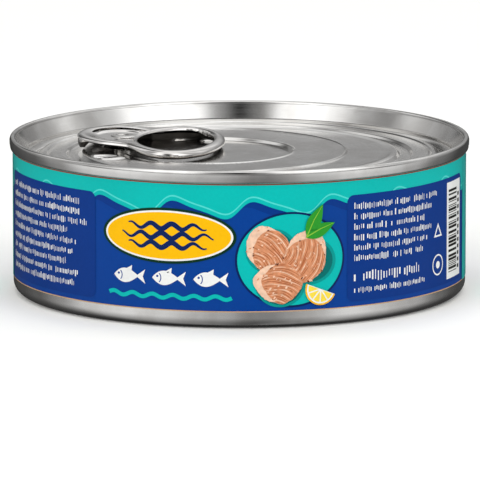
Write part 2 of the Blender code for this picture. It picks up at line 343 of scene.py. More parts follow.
def small_print_tree() -> ShapeTree:
    """Makes the tree that sets rows of plain blocks, as text too small to read looks from afar.

    Three blocks in ten are tall. A block is 0.22 to 0.62 of the column pitch wide.

    Returns:
        The tree, with inputs Columns, Rows, Column Pitch, Row Pitch, Block Height, Gap Share, Ragged,
        Seed and Material. The first row's left end is the origin, and rows run downwards.
    """
    tall_chance, tall_growth = 0.3, 0.45
    least_width, width_spread = 0.22, 0.4
    gap_seed_step, end_seed_step, width_seed_step = 7.0, 13.0, 21.0
    page = ShapeTree("small_print")
    columns = page.size("Columns", "NodeSocketInt")
    rows = page.size("Rows", "NodeSocketInt")
    column_pitch = page.size("Column Pitch")
    row_pitch = page.size("Row Pitch")
    height = page.size("Block Height")
    gap_share = page.size("Gap Share")
    ragged = page.size("Ragged")
    seed = page.size("Seed", "NodeSocketInt")
    material = page.size("Material", "NodeSocketMaterial")

    grid = page.node("GeometryNodeMeshGrid", {"Vertices X": columns, "Vertices Y": rows})
    index = page.node("GeometryNodeInputIndex")
    middle = page.node(MATH, {0: index, 1: 0.5}, operation="ADD")
    columns_past = page.node(MATH, {0: middle, 1: rows}, operation="DIVIDE")
    column = page.node(MATH, {0: columns_past}, operation="FLOOR")
    passed = page.node(MATH, {0: column, 1: rows}, operation="MULTIPLY")
    row = page.node(MATH, {0: index, 1: passed}, operation="SUBTRACT")

    tall = page.node(RANDOM, {"Probability": tall_chance, "Seed": seed}, data_type="BOOLEAN")
    growth = page.node(MATH, {0: tall, 1: tall_growth}, operation="MULTIPLY")
    stretch = page.node(MATH, {0: growth, 1: 1.0}, operation="ADD")
    block_height = page.node(MATH, {0: height, 1: stretch}, operation="MULTIPLY")
    extra = page.node(MATH, {0: height, 1: growth}, operation="MULTIPLY")
    raised = page.node(MATH, {0: extra, 1: 0.5}, operation="MULTIPLY")

    across = page.node(MATH, {0: column, 1: column_pitch}, operation="MULTIPLY")
    fall = page.node(MATH, {0: row_pitch, 1: -1.0}, operation="MULTIPLY")
    fallen = page.node(MATH, {0: row, 1: fall}, operation="MULTIPLY")
    down = page.node(MATH, {0: fallen, 1: raised}, operation="ADD")
    place = page.node("ShaderNodeCombineXYZ", {0: across, 1: down})
    laid = page.node("GeometryNodeSetPosition", {"Geometry": grid, "Position": place})

    gap_seed = page.node(MATH, {0: seed, 1: gap_seed_step}, operation="ADD")
    gap = page.node(RANDOM, {"Probability": gap_share, "Seed": gap_seed}, data_type="BOOLEAN")
    end_seed = page.node(MATH, {0: seed, 1: end_seed_step}, operation="ADD")
    end = page.node(RANDOM, {"ID": row, "Seed": end_seed}, data_type="FLOAT")
    cut = page.node(MATH, {0: end, 1: ragged}, operation="MULTIPLY")
    kept_share = page.node(MATH, {0: 1.0, 1: cut}, operation="SUBTRACT")
    kept_columns = page.node(MATH, {0: columns, 1: kept_share}, operation="MULTIPLY")
    past_end = page.node(MATH, {0: column, 1: kept_columns}, operation="GREATER_THAN")
    dropped = page.node("FunctionNodeBooleanMath", {0: gap, 1: past_end}, operation="OR")
    left = page.node("GeometryNodeDeleteGeometry", {"Geometry": laid, "Selection": dropped})

    width_seed = page.node(MATH, {0: seed, 1: width_seed_step}, operation="ADD")
    width = page.node(RANDOM, {"Seed": width_seed}, data_type="FLOAT")
    spread = page.node(MATH, {0: width, 1: width_spread}, operation="MULTIPLY")
    share = page.node(MATH, {0: spread, 1: least_width}, operation="ADD")
    block_width = page.node(MATH, {0: column_pitch, 1: share}, operation="MULTIPLY")
    scale = page.node("ShaderNodeCombineXYZ", {0: block_width, 1: block_height, 2: 1.0})
    block = page.node("GeometryNodeMeshGrid", {"Vertices X": 2, "Vertices Y": 2})
    placed = page.node(
        "GeometryNodeInstanceOnPoints", {"Points": left, "Instance": block, "Scale": scale}
    )
    page.finish(placed, material)
    return page


@dataclass(frozen=True)
class Tinplate:
    """Tin-coated steel sheet, cold rolled, then drawn or pressed: bright, with fine lines and a soft sheen.

    The tin's melted coat gives clear reflections, the rolled sheet beneath blurs them a little, and the
    tools that turn the can leave fine lines running round it. Real lines are a few hundredths of a
    millimetre apart, too fine to show, so they are drawn line_pitch apart. The tin's clouds are drawn
    larger than real ones for the same reason.
    """

    name: str
    colour: str
    dark: str
    roughness: float
    roughness_spread: float
    line_pitch: float = 0.16
    line_depth: float = 0.0012
    line_drift: float = 0.0006  # how far the noise moves along a line in a radian, in metres
    cloud_size: float = 6.0
    cloud_edge: Point = (0.3, 0.65)

    def material(self) -> bpy.types.Material:
        """Builds the finish's node tree.

        Returns:
            The material.
        """
        material = bpy.data.materials.new(self.name)
        material.use_nodes = True
        tree = material.node_tree
        place = add_node(tree, "ShaderNodeTexCoord").outputs["Object"]
        split = add_node(tree, "ShaderNodeSeparateXYZ", {0: place})
        x, y, z = split.outputs
        flat = add_node(tree, "ShaderNodeCombineXYZ", {0: x, 1: y})
        radius = add_node(tree, "ShaderNodeVectorMath", {0: flat}, operation="LENGTH")
        angle = add_node(tree, MATH, {0: y, 1: x}, operation="ARCTAN2")
        slow = add_node(tree, MATH, {0: angle, 1: self.line_drift}, operation="MULTIPLY")
        round_can = add_node(tree, "ShaderNodeCombineXYZ", {0: radius, 1: z, 2: slow})
        lines = add_node(
            tree, NOISE, {"Vector": round_can, "Scale": 1.0 / (self.line_pitch * MM), "Detail": 2.0}
        )
        cloud = add_node(tree, NOISE, {"Vector": place, "Scale": 1.0 / (self.cloud_size * MM), "Detail": 3.0})
        tone = add_node(tree, "ShaderNodeValToRGB", {"Fac": cloud})
        set_stops(tone.color_ramp, list(zip(self.cloud_edge, (linear(self.dark), linear(self.colour)))))
        dullest = self.roughness + self.roughness_spread
        rough = add_node(tree, MAP_RANGE, between(lines, NOISE_EDGE, (self.roughness, dullest)))
        lined = add_node(
            tree, "ShaderNodeBump", {"Height": lines, "Distance": self.line_depth * MM, "Strength": 1.0}
        )
        shader = tree.nodes["Principled BSDF"]
        feed(tree, shader, {"Metallic": 1.0, "Base Color": tone, "Roughness": rough, "Normal": lined})
        return material


# Drawn from the blank and left as it came: a soft mirror that its lines break up, seen on the base strip.
DRAWN_TINPLATE = Tinplate("drawn_bare_tinplate", "#ECEBE9", "#DCDAD7", 0.17, 0.06, line_pitch=0.4)
# Pressed, then ironed by the seaming rolls: a clearer mirror with sharp bands of light.
SEAMED_TINPLATE = Tinplate("seamed_tinplate", "#EFEEEC", "#E0DEDB", 0.11, 0.07)
# Struck flat by a punch: a shade greyer and duller than the lid round it.
HEADED_TINPLATE = Tinplate("headed_rivet", "#EAE8E5", "#D2CFCB", 0.16, 0.08)
# Harder steel, coined and bent in polished tools: the brightest metal here, almost a mirror.
BENT_STEEL = Tinplate(
    "bent_tab_steel", "#F2F0EE", "#DFDCD9", 0.07, 0.05, line_pitch=0.5, line_depth=0.002
)
# The tab's folded underside, its lower fold and the hole's lowest hem rows: a dark base colour that paints
# the shade under the tab, so it mirrors nothing clearly.
SHADE_DARKENED_STEEL = Tinplate("shade_painted_tab_underside", "#3E3B38", "#262422", 0.4, 0.1, line_pitch=0.5)


class Ink(Enum):
    """The inks of the print, as sRGB hex codes."""

    BLUE = "#003F94"
    NAVY = "#003687"
    MIDNIGHT = "#06235C"
    TEAL = "#00BDB6"
    SHADE_TEAL = "#009892"
    DEEP_TEAL = "#00706C"
    PALE_TEAL = "#4FDAD2"
    WHITE = "#F4F5F3"
    YELLOW = "#FFC000"
    DARK_GREEN = "#06341F"
    LEAF = "#2F9A2E"
    LIME = "#8CC63F"
    SALMON = "#E39A70"
    SALMON_LIGHT = "#FBD2B5"
    SALMON_DARK = "#BE6F47"
    SALMON_DEEP = "#6E3421"
    LEMON = "#FFE14D"
    BLACK = "#14140F"
    TAN = "#C9A27C"
    OXIDE = "#8E4B3D"


class Layer(IntEnum):
    """The order in which the inks lie on each other, from the metal outwards."""

    GROUND = 1
    SHADE = 2
    BAND = 3
    LINE = 4
    PANEL = 5
    SIGN = 6
    DETAIL = 7
    FINE = 8
    FISH = 9
    GARNISH = 21


@dataclass(frozen=True)
class PrintedInk:
    """Offset ink under a stoved clear varnish on tinplate.

    The ink hides the metal, a fine mottle stays from the printing blanket, and the varnish gives the
    wall a smooth gloss that mirrors the lights softly. Real mottle is about a tenth of a millimetre
    across, too fine to show, so it is drawn mottle_size across.
    """

    ink: Ink
    mottle: float = 0.05
    mottle_size: float = 0.5
    drift: float = 0.05
    drift_size: float = 14.0
    peel_depth: float = 0.002
    roughness: float = 0.42
    specular: float = 0.05
    varnish_ior: float = 1.15
    varnish_roughness: float = 0.16

    def material(self) -> bpy.types.Material:
        """Builds the ink's node tree.

        Returns:
            The material.
        """
        material = bpy.data.materials.new(f"varnished_ink_{self.ink.name.lower()}")
        material.use_nodes = True
        tree = material.node_tree
        place = add_node(tree, "ShaderNodeTexCoord").outputs["Object"]
        fine = add_node(tree, NOISE, {"Vector": place, "Scale": 1.0 / (self.mottle_size * MM), "Detail": 3.0})
        broad = add_node(tree, NOISE, {"Vector": place, "Scale": 1.0 / (self.drift_size * MM), "Detail": 1.0})
        near = add_node(tree, MAP_RANGE, between(fine, NOISE_EDGE, (1.0 - self.mottle, 1.0)))
        far = add_node(tree, MAP_RANGE, between(broad, NOISE_EDGE, (1.0 - self.drift, 1.0)))
        both = add_node(tree, MATH, {0: near, 1: far}, operation="MULTIPLY")
        toned = add_node(
            tree, "ShaderNodeVectorMath", {0: linear(self.ink.value)[:3], "Scale": both}, operation="SCALE"
        )
        peel = add_node(
            tree, "ShaderNodeBump", {"Height": fine, "Distance": self.peel_depth * MM, "Strength": 1.0}
        )
        gloss = {
            "Base Color": toned,
            "Normal": peel,
            "Roughness": self.roughness,
            "Specular IOR Level": self.specular,
            "Coat Weight": 1.0,
            "Coat IOR": self.varnish_ior,
            "Coat Roughness": self.varnish_roughness,
        }
        feed(tree, tree.nodes["Principled BSDF"], gloss)
        return material


@dataclass
class Studio:
    """A pale floor, a painted room of soft light that the metal mirrors, and the photograph's camera.

    The room is painted by direction. A height there is the sine of the elevation, from -1 to 1. An
    azimuth is 0 on the camera's side and grows towards the can's right. A level of 1 shows as white.
    """

    distance: float = 1307.7
    elevation: float = 9.87
    aim: Vector = field(default_factory=lambda: Vector((0.12, 0.0, 9.3)))
    lens: float = 516.9
    sensor: float = 36.0
    far_clip: float = 20.0  # in metres
    floor_radius: float = 4000.0
    floor_steps: int = 96
    low_ring: tuple[Point, ...] = (
        (-180, 0.1), (-170, 0.04), (-150, 0.07), (-124, 0.12), (-102, 0.34), (-82, 0.76), (-58, 0.88),
        (-38, 0.78), (-18, 0.56), (14, 0.24), (38, 0.58), (58, 0.86), (80, 0.7), (100, 0.48),
        (120, 0.17), (145, 0.06), (168, 0.06), (180, 0.1),
    )
    high_ring: tuple[Point, ...] = (
        (-180, 1.05), (-171, 0.3), (-160, 0.08), (-146, 0.1), (-124, 0.8), (-112, 0.8), (-94, 0.28),
        (-78, 0.42), (-60, 1.05), (-46, 1.5), (-30, 1.3), (-13, 0.22), (0, 0.0), (13, 0.3), (28, 1.35),
        (46, 1.55), (64, 1.35), (82, 0.62), (96, 0.46), (114, 1.0), (130, 0.65), (146, 0.6),
        (160, 0.9), (180, 1.05),
    )
    ring_edge: Point = (0.15, 0.52)
    back_edge: Point = (0.15, 0.7)
    strip_height: float = 0.19
    strip_edge: Point = (0.17, 0.04)
    strip_level: float = 0.2
    overhead: tuple[float, float, float] = (0.0, -0.05, 0.999)
    overhead_edge: Point = (0.84, 0.95)
    overhead_level: float = 1.15
    zenith_edge: Point = (0.985, 0.996)
    zenith_level: float = 0.6
    sink_edge: Point = (-1.0, -0.15)
    sink_level: float = 0.25
    front_edge: Point = (0.2, -0.2)
    dip_height: float = 0.15
    dip_edge: Point = (0.17, 0.03)
    dip_depth: float = 0.82
    lamps: tuple[tuple[str, float, float, float], ...] = (  # name, azimuth, elevation, watts
        ("left_lamp", -32.0, 38.0, 5.2),
        ("right_lamp", 24.0, 36.0, 4.4),
        ("top_lamp", 180.0, 80.0, 6.0),
    )
    lamp_size: float = 1.1  # in metres
    lamp_distance: float = 1.6  # in metres

    def build(self) -> None:
        """Makes the floor, the room, the lamps and the camera."""
        self.make_floor()
        self.make_room()
        self.make_lamps()
        self.make_camera()
        bpy.context.scene.view_settings.view_transform = "Standard"
        LOG.info("studio: floor, room, lamps and camera")

    def make_floor(self) -> None:
        """Makes a wide disc of matt white card just under the can."""
        reach = self.floor_radius * MM
        turns = [math.tau * i / self.floor_steps for i in range(self.floor_steps)]
        rim = [(reach * math.cos(turn), reach * math.sin(turn), 0.0) for turn in turns]
        floor = link_object("floor", mesh_from("floor", rim, [tuple(range(self.floor_steps))]))
        card = bpy.data.materials.new("matt_white_card")
        card.use_nodes = True
        paper = {"Base Color": linear("#F6F6F4"), "Roughness": 0.9, "Specular IOR Level": 0.0}
        feed(card.node_tree, card.node_tree.nodes["Principled BSDF"], paper)
        floor.data.materials.append(card)
        floor.visible_glossy = False

    def make_room(self) -> None:
        """Paints the room, which the bare metal mirrors; the camera itself sees plain white there."""
        world = bpy.data.worlds.new("soft_room")
        bpy.context.scene.world = world
        world.use_nodes = True
        tree = world.node_tree
        tree.nodes.clear()
        way = add_node(tree, "ShaderNodeTexCoord").outputs["Generated"]
        split = add_node(tree, "ShaderNodeSeparateXYZ", {0: way})
        sides = add_node(
            tree,
            "ShaderNodeVectorMath",
            {0: self.soft_boxes(tree, split), 1: self.back_strip(tree, split)},
            operation="ADD",
        )
        colour = self.ceiling(tree, way, sides)
        painted = add_node(
            tree, "ShaderNodeBackground", {"Color": colour, "Strength": self.strength(tree, split)}
        )
        white = add_node(tree, "ShaderNodeBackground", {"Color": (1.0, 1.0, 1.0, 1.0)})
        seen = add_node(tree, "ShaderNodeLightPath").outputs["Is Camera Ray"]
        room = add_node(tree, "ShaderNodeMixShader", {0: seen, 1: painted, 2: white})
        add_node(tree, "ShaderNodeOutputWorld", {"Surface": room})

    def soft_boxes(self, tree: bpy.types.NodeTree, split: bpy.types.Node) -> bpy.types.NodeSocket:
        """Paints two rings of soft boxes with darker gaps, one above the other.

        Args:
            tree: The room's node tree.
            split: The node that gives the direction's three parts.

        Returns:
            The rings' colour.
        """
        x, y, z = split.outputs
        front = add_node(tree, MATH, {0: y, 1: -1.0}, operation="MULTIPLY")
        turn = add_node(tree, MATH, {0: x, 1: front}, operation="ARCTAN2")
        share = add_node(tree, MAP_RANGE, between(turn, (-math.pi, math.pi)))
        rings = []
        for stops in (self.low_ring, self.high_ring):
            ring = add_node(tree, "ShaderNodeValToRGB", {"Fac": share})
            greys = [((azimuth + 180.0) / 360.0, (level, level, level, 1.0)) for azimuth, level in stops]
            set_stops(ring.color_ramp, greys)
            rings.append(ring)
        climb = add_node(tree, MAP_RANGE, between(z, self.ring_edge), interpolation_type="SMOOTHSTEP")
        mixed = add_node(tree, "ShaderNodeMix", {0: climb, 6: rings[0], 7: rings[1]}, data_type="RGBA")
        return mixed.outputs[2]

    def back_strip(self, tree: bpy.types.NodeTree, split: bpy.types.Node) -> bpy.types.Node:
        """Paints the low strip of light behind the can, which gives the flat panel its grey.

        Args:
            tree: The room's node tree.
            split: The node that gives the direction's three parts.

        Returns:
            The node that gives the strip's level.
        """
        behind = add_node(
            tree, MAP_RANGE, between(split.outputs["Y"], self.back_edge), interpolation_type="SMOOTHSTEP"
        )
        apart = add_node(tree, MATH, {0: split.outputs["Z"], 1: self.strip_height}, operation="SUBTRACT")
        gap = add_node(tree, MATH, {0: apart}, operation="ABSOLUTE")
        glow = add_node(
            tree,
            MAP_RANGE,
            between(gap, self.strip_edge, (0.0, self.strip_level)),
            interpolation_type="SMOOTHSTEP",
        )
        return add_node(tree, MATH, {0: behind, 1: glow}, operation="MULTIPLY")

    def ceiling(
        self, tree: bpy.types.NodeTree, way: bpy.types.NodeSocket, sides: bpy.types.Node
    ) -> bpy.types.NodeSocket:
        """Paints the bright ceiling, which is dimmer straight above the can.

        Args:
            tree: The room's node tree.
            way: The direction.
            sides: The node that gives the colour of the room's sides.

        Returns:
            The room's colour.
        """
        nearness = add_node(tree, "ShaderNodeVectorMath", {0: way, 1: self.overhead}, operation="DOT_PRODUCT")
        crown = add_node(
            tree, MAP_RANGE, between(nearness, self.overhead_edge), interpolation_type="SMOOTHSTEP"
        )
        straight_up = add_node(
            tree,
            MAP_RANGE,
            between(nearness, self.zenith_edge, (self.overhead_level, self.zenith_level)),
            interpolation_type="SMOOTHSTEP",
        )
        mixed = add_node(tree, "ShaderNodeMix", {0: crown, 6: sides, 7: straight_up}, data_type="RGBA")
        return mixed.outputs[2]

    def strength(self, tree: bpy.types.NodeTree, split: bpy.types.Node) -> bpy.types.Node:
        """Dims the room below the floor's line, and in a low belt on the camera's side.

        Args:
            tree: The room's node tree.
            split: The node that gives the direction's three parts.

        Returns:
            The node that gives the room's strength.
        """
        y, z = split.outputs["Y"], split.outputs["Z"]
        sink = add_node(tree, MAP_RANGE, between(z, self.sink_edge, (self.sink_level, 1.0)))
        in_front = add_node(tree, MAP_RANGE, between(y, self.front_edge))
        apart = add_node(tree, MATH, {0: z, 1: self.dip_height}, operation="SUBTRACT")
        gap = add_node(tree, MATH, {0: apart}, operation="ABSOLUTE")
        dip = add_node(
            tree,
            MAP_RANGE,
            between(gap, self.dip_edge, (0.0, self.dip_depth)),
            interpolation_type="SMOOTHSTEP",
        )
        dimmed = add_node(tree, MATH, {0: in_front, 1: dip}, operation="MULTIPLY")
        kept = add_node(tree, MATH, {0: 1.0, 1: dimmed}, operation="SUBTRACT")
        return add_node(tree, MATH, {0: sink, 1: kept}, operation="MULTIPLY")

    def make_lamps(self) -> None:
        """Hangs large soft lamps that light the print and the floor but don't show in the metal."""
        for name, azimuth, elevation, power in self.lamps:
            light = bpy.data.lights.new(name, "AREA")
            light.size = self.lamp_size
            light.energy = power
            lamp = link_object(name, light)
            turn, rise = math.radians(azimuth), math.radians(elevation)
            away = Vector((math.sin(turn) * math.cos(rise), -math.cos(turn) * math.cos(rise), math.sin(rise)))
            lamp.location = away * self.lamp_distance
            lamp.rotation_euler = away.to_track_quat("Z", "Y").to_euler()
            lamp.visible_glossy = False

    def make_camera(self) -> None:
        """Sets the photograph's camera: far away, nearly level, with a long lens."""
        data = bpy.data.cameras.new("camera")
        data.lens = self.lens
        data.sensor_width = self.sensor
        data.clip_end = self.far_clip
        camera = link_object("camera", data)
        rise = math.radians(self.elevation)
        away = Vector((0.0, -math.cos(rise), math.sin(rise)))
        aim = self.aim * MM
        camera.location = Vector((0.0, aim.y, aim.z)) + away * self.distance * MM
        camera.rotation_euler = (camera.location - aim).to_track_quat("Z", "Y").to_euler()
        bpy.context.scene.camera = camera


@dataclass
class Turned:
    """What the can's turned pieces share: the lathe and the number of steps round."""

    lathe: ShapeTree
    steps: int = 336

    def turn(self, name: str, profile: Outline, material: bpy.types.Material) -> bpy.types.Object:
        """Turns a profile about the can's axis.

        Args:
            name: The piece's name.
            profile: Points of (radius, height); the outside is on their left.
            material: The piece's finish.

        Returns:
            The turned piece, with its faces outwards.
        """
        points = [(radius * MM, 0.0, height * MM) for radius, height in profile]
        base = mesh_from(name, points, [], [(i, i + 1) for i in range(len(points) - 1)])
        values = {"Points": len(points), "Steps": self.steps, "Material": material}
        return self.lathe.grow(name, base, values)


def arc(centre: Point, radii: Point, start: float, end: float, steps: int) -> Outline:
    """Points of an elliptic arc, whose angles run from the first axis towards the second."""
    turns = [math.radians(start + (end - start) * i / steps) for i in range(steps + 1)]
    return [(centre[0] + radii[0] * math.cos(a), centre[1] + radii[1] * math.sin(a)) for a in turns]


def oval(centre: Point, half: Point, steps: int = 64) -> Outline:
    """Points round an ellipse."""
    return arc(centre, half, 0.0, 360.0 * (steps - 1) / steps, steps - 1)


def softened(points: Outline, reach: float, steps: int = 4) -> Outline:
    """Rounds a profile's inner corners with short curves.

    Args:
        points: The profile's corners.
        reach: How far from each corner its curve starts, at most.
        steps: Pieces in each curve.

    Returns:
        The rounded profile.
    """
    most = 0.45  # a curve takes no more than this share of a side
    soft = [points[0]]
    for before, corner, after in zip(points, points[1:], points[2:]):
        here = Vector(corner)
        ends = []
        for other in (before, after):
            way = Vector(other) - here
            ends.append(here + way.normalized() * min(reach, most * way.length))
        for i in range(steps + 1):
            t = i / steps
            spot = ends[0] * (1 - t) ** 2 + here * 2 * t * (1 - t) + ends[1] * t * t
            soft.append((spot.x, spot.y))
    return soft + [points[-1]]


def divided(points: Outline, pitch: float) -> Outline:
    """Adds points to a profile.

    Args:
        points: The profile.
        pitch: The longest step that it may have.

    Returns:
        The same line with more points on it.
    """
    fine = [points[0]]
    for (x0, y0), (x1, y1) in zip(points, points[1:]):
        count = max(1, math.ceil(math.dist((x0, y0), (x1, y1)) / pitch))
        fine += [(x0 + (x1 - x0) * k / count, y0 + (y1 - y0) * k / count) for k in range(1, count + 1)]
    return fine


@dataclass
class Cup(Turned):
    """The drawn cup: its wall, which carries the print, the round corner, base ring and base beads."""

    wall_radius: float = 42.85
    hidden_top: float = 27.5
    tuck: Point = (0.4, 0.2)
    wall_pitch: float = 2.0
    corner: float = 2.15
    corner_steps: int = 14
    ring_width: float = 1.7
    ring_slope: float = 1.4
    rise: float = 1.2
    bead_radii: Point = (19.0, 31.5)
    bead_rise: float = 0.5
    bead_foot: float = 1.6
    bead_top: float = 0.6
    hub: float = 2.0
    rounding: float = 0.6

    def profile(self) -> Outline:
        """The cup's outer side.

        Returns:
            Points of (radius, height), from under the seam to the middle of the base.
        """
        inwards, down = self.tuck
        start = (self.wall_radius, self.hidden_top - down)
        ring_outer = self.wall_radius - self.corner
        ring_inner = ring_outer - self.ring_width
        corner = arc((ring_outer, self.corner), (self.corner, self.corner), 0.0, -90.0, self.corner_steps)
        base = [corner[-1], (ring_inner, 0.0), (ring_inner - self.ring_slope * self.rise, self.rise)]
        crest = self.rise + self.bead_rise
        for radius in reversed(self.bead_radii):
            base += [(radius + self.bead_foot, self.rise), (radius + self.bead_top, crest)]
            base += [(radius - self.bead_top, crest), (radius - self.bead_foot, self.rise)]
        base += [(self.hub, self.rise), (0.0, self.rise)]
        wall = [(self.wall_radius - inwards, self.hidden_top)] + divided([start, corner[0]], self.wall_pitch)
        return wall[:-1] + corner[:-1] + softened(base, self.rounding)

    def build(self) -> None:
        """Turns the cup and dresses it in bare tinplate; the print covers its wall."""
        cup = self.turn("cup", self.profile(), DRAWN_TINPLATE.material())
        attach(cup, ROOT)
        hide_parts("can_body")
        LOG.info("cup: %d faces", len(cup.data.polygons))


@dataclass(frozen=True)
class RaisedMark:
    """The small pressed mark beside the tab: an oval bead with a slit across its middle."""

    place: Point = (-25.6, -8.8)
    stretch: Point = (0.8, 1.1)
    bead_radius: float = 2.4
    bead_half: float = 1.3
    bead_rise: float = 0.22
    slit_stretch: Point = (0.55, 1.5)
    slit_shift: float = 0.6
    slit_half: float = 0.9
    slit_depth: float = 0.34

    def rise_at(self, x: float, y: float) -> float:
        """How far the mark lifts the panel.

        Args:
            x: Place across the lid.
            y: Place along the lid.

        Returns:
            The rise, below 0 in the slit.
        """
        across, along = x - self.place[0], y - self.place[1]
        from_mark = math.hypot(self.stretch[0] * across, self.stretch[1] * along)
        slit_across, slit_along = self.slit_stretch
        from_slit = math.hypot(slit_across * (across + self.slit_shift), slit_along * along)
        bead = self.bead_rise * bump(from_mark - self.bead_radius, self.bead_half)
        return bead - self.slit_depth * bump(from_slit, self.slit_half)


@dataclass
class Lid(Turned):
    """The easy-open lid: double seam, chuck wall, countersink, stiffening rings, panel and rivet.

    A bead or a step is given as its place beyond its ring and its half width.
    """

    seam_radius: float = 43.5
    height: float = 29.5
    seam_inner: float = 42.35
    seam_foot: float = 27.1
    seam_end: Point = (42.86, 27.6)
    seam_face: tuple[Point, ...] = (  # in from the seam's radius, and down from its top
        (0.005, 0.605), (0.0, 0.64), (0.03, 1.35), (0.11, 1.8),
    )
    crown_height: float = 0.85
    crown_start: float = 172.0
    crown_end: float = 28.0
    crest_width: float = 0.36
    curl: float = 0.5
    curl_inset: float = 0.12
    curl_arc: Point = (-10.0, -150.0)
    throat: Point = (0.06, 0.62)  # in from the seam's inner radius, and down from its top
    throat_bend: Point = (0.03, 0.06)
    wall_foot: tuple[Point, Point] = ((40.95, 25.5), (40.98, 26.35))
    wall_foot_pitch: float = 0.3
    wall_start: Point = (41.02, 26.43)
    sink_radius: float = 39.75
    sink_floor: float = 24.75
    sink_bend: float = 0.75
    sink_arc: Point = (-150.0, -30.0)
    panel_forms: tuple[Point, ...] = (  # the panel, its groove, the rib outside it and the fall to the sink
        (0.0, 26.6), (29.1, 26.6), (29.8, 26.5), (30.4, 25.75), (32.3, 25.75), (32.75, 26.35),
        (35.7, 26.35), (36.1, 26.15), (36.4, 26.4), (37.0, 26.45), (37.7, 26.2), (38.7, 25.3),
    )
    panel_pitch: float = 0.42
    panel_rounding: float = 0.18
    panel_fade: Point = (28.2, 29.0)
    well_centre: Point = (-5.6, 0.0)
    well_radius: float = 15.6
    well_depth: float = 0.6
    well_wall: float = 0.27
    well_fade: Point = (-17.0, -12.0)  # towards the left the well's wall runs out softly
    well_runout: float = 2.6
    well_bead: Point = (0.36, 0.3)
    well_bead_rise: float = 0.14
    well_bead_fade: Point = (-12.0, -2.0)
    outer_ring: float = 25.9
    ring_bead: Point = (-0.1, 0.34)
    ring_bead_rise: float = 0.168
    ring_step: Point = (-0.05, 0.2)
    ring_step_drop: float = 0.16
    rivet: Point = (-22.05, 5.396)
    boss_fade: Point = (3.0, 4.4)
    boss_rise: float = 0.35
    mark: RaisedMark = RaisedMark()
    fine_line: float = 0.72
    fine_boss: float = 5.0
    fine_mark: float = 4.0
    fine_cuts: int = 3
    rivet_profile: tuple[Point, ...] = (
        (0.0, 28.52), (0.8, 28.5), (1.1, 28.66), (1.8, 28.66), (2.35, 28.58), (2.6, 28.44), (2.5, 28.34),
        (1.6, 28.3), (1.6, 26.7),
    )
    rivet_rounding: float = 0.2
    rivet_steps: int = 64

    def profile(self) -> Outline:
        """The lid's upper side.

        Returns:
            Points of (radius, height), from the middle of the panel to the seam's foot.
        """
        outer, top = self.seam_radius, self.height
        middle = 0.5 * (outer + self.seam_inner)
        half = 0.5 * (outer - self.seam_inner)
        flat = 0.5 * self.crest_width
        panel = softened(list(self.panel_forms), self.panel_rounding, 3)
        sink_centre = (self.sink_radius, self.sink_floor + self.sink_bend)
        sink = arc(sink_centre, (self.sink_bend, self.sink_bend), *self.sink_arc, 10)
        throat = (self.seam_inner - self.throat[0], top - self.throat[1])
        below_throat = (throat[0] - self.throat_bend[0], throat[1] - self.throat_bend[1])
        inner = divided(panel[:2], self.panel_pitch) + panel[2:] + sink
        inner += divided(list(self.wall_foot), self.wall_foot_pitch) + [self.wall_start, below_throat, throat]
        crown = arc((middle - flat, top - half), (half - flat, half), self.crown_start, 90.0, 10)
        shoulder = (middle + flat, top - self.crown_height)
        crown += arc(shoulder, (half - flat, self.crown_height), 90.0, self.crown_end, 12)
        face = [(outer - inwards, top - down) for inwards, down in self.seam_face]
        curl_centre = (outer - self.curl_inset - self.curl, self.seam_foot + self.curl)
        foot = arc(curl_centre, (self.curl, self.curl), *self.curl_arc, 10)
        return inner + crown + face + foot + [self.seam_end]

    def relief(self, x: float, y: float) -> float:
        """How far the pressed panel stands above its flat profile.

        Args:
            x: Place across the lid.
            y: Place along the lid.

        Returns:
            The rise.
        """
        from_well = math.dist((x, y), self.well_centre)
        run = self.well_wall + self.well_runout * (1.0 - smoothstep(*self.well_fade, x))
        rise = -self.well_depth * (1.0 - ramp(self.well_radius - run, self.well_radius + run, from_well))
        beyond, half = self.well_bead
        bead = self.well_bead_rise * bump(from_well - self.well_radius - beyond, half)
        rise += bead * smoothstep(*self.well_bead_fade, -y)
        beyond, half = self.ring_bead
        rise += self.ring_bead_rise * bump(from_well - self.outer_ring - beyond, half)
        rise -= self.ring_step_drop * ramp(*self.ring_step, from_well - self.outer_ring)
        rise += self.boss_rise * (1.0 - smoothstep(*self.boss_fade, math.dist((x, y), self.rivet)))
        rise += self.mark.rise_at(x, y)
        return rise * (1.0 - smoothstep(*self.panel_fade, math.hypot(x, y)))

    def has_form(self, x: float, y: float) -> bool:
        """Whether a line, the boss or the mark is near a place on the panel.

        Args:
            x: Place across the lid.
            y: Place along the lid.

        Returns:
            True where the mesh has to be fine.
        """
        spot = (x, y)
        from_well = math.dist(spot, self.well_centre)
        if math.hypot(x, y) >= self.panel_fade[1]:
            return False
        return (
            min(abs(from_well - self.well_radius), abs(from_well - self.outer_ring)) < self.fine_line
            or math.dist(spot, self.rivet) < self.fine_boss
            or math.dist(spot, self.mark.place) < self.fine_mark
        )

    def press_panel(self, mesh: bpy.types.Mesh) -> None:
        """Refines the panel where its forms are and raises them.

        Args:
            mesh: The turned lid, changed in place.
        """
        shaped = bmesh.new()
        shaped.from_mesh(mesh)
        fine = []
        for edge in shaped.edges:
            x, y, _ = (edge.verts[0].co + edge.verts[1].co) * (0.5 / MM)
            if self.has_form(x, y):
                fine.append(edge)
        bmesh.ops.subdivide_edges(shaped, edges=fine, cuts=self.fine_cuts, use_grid_fill=True)
        for vertex in shaped.verts:
            x, y, z = vertex.co / MM
            if math.hypot(x, y) < self.panel_fade[1]:
                vertex.co.z = (z + self.relief(x, y)) * MM
        shaped.to_mesh(mesh)
        shaped.free()

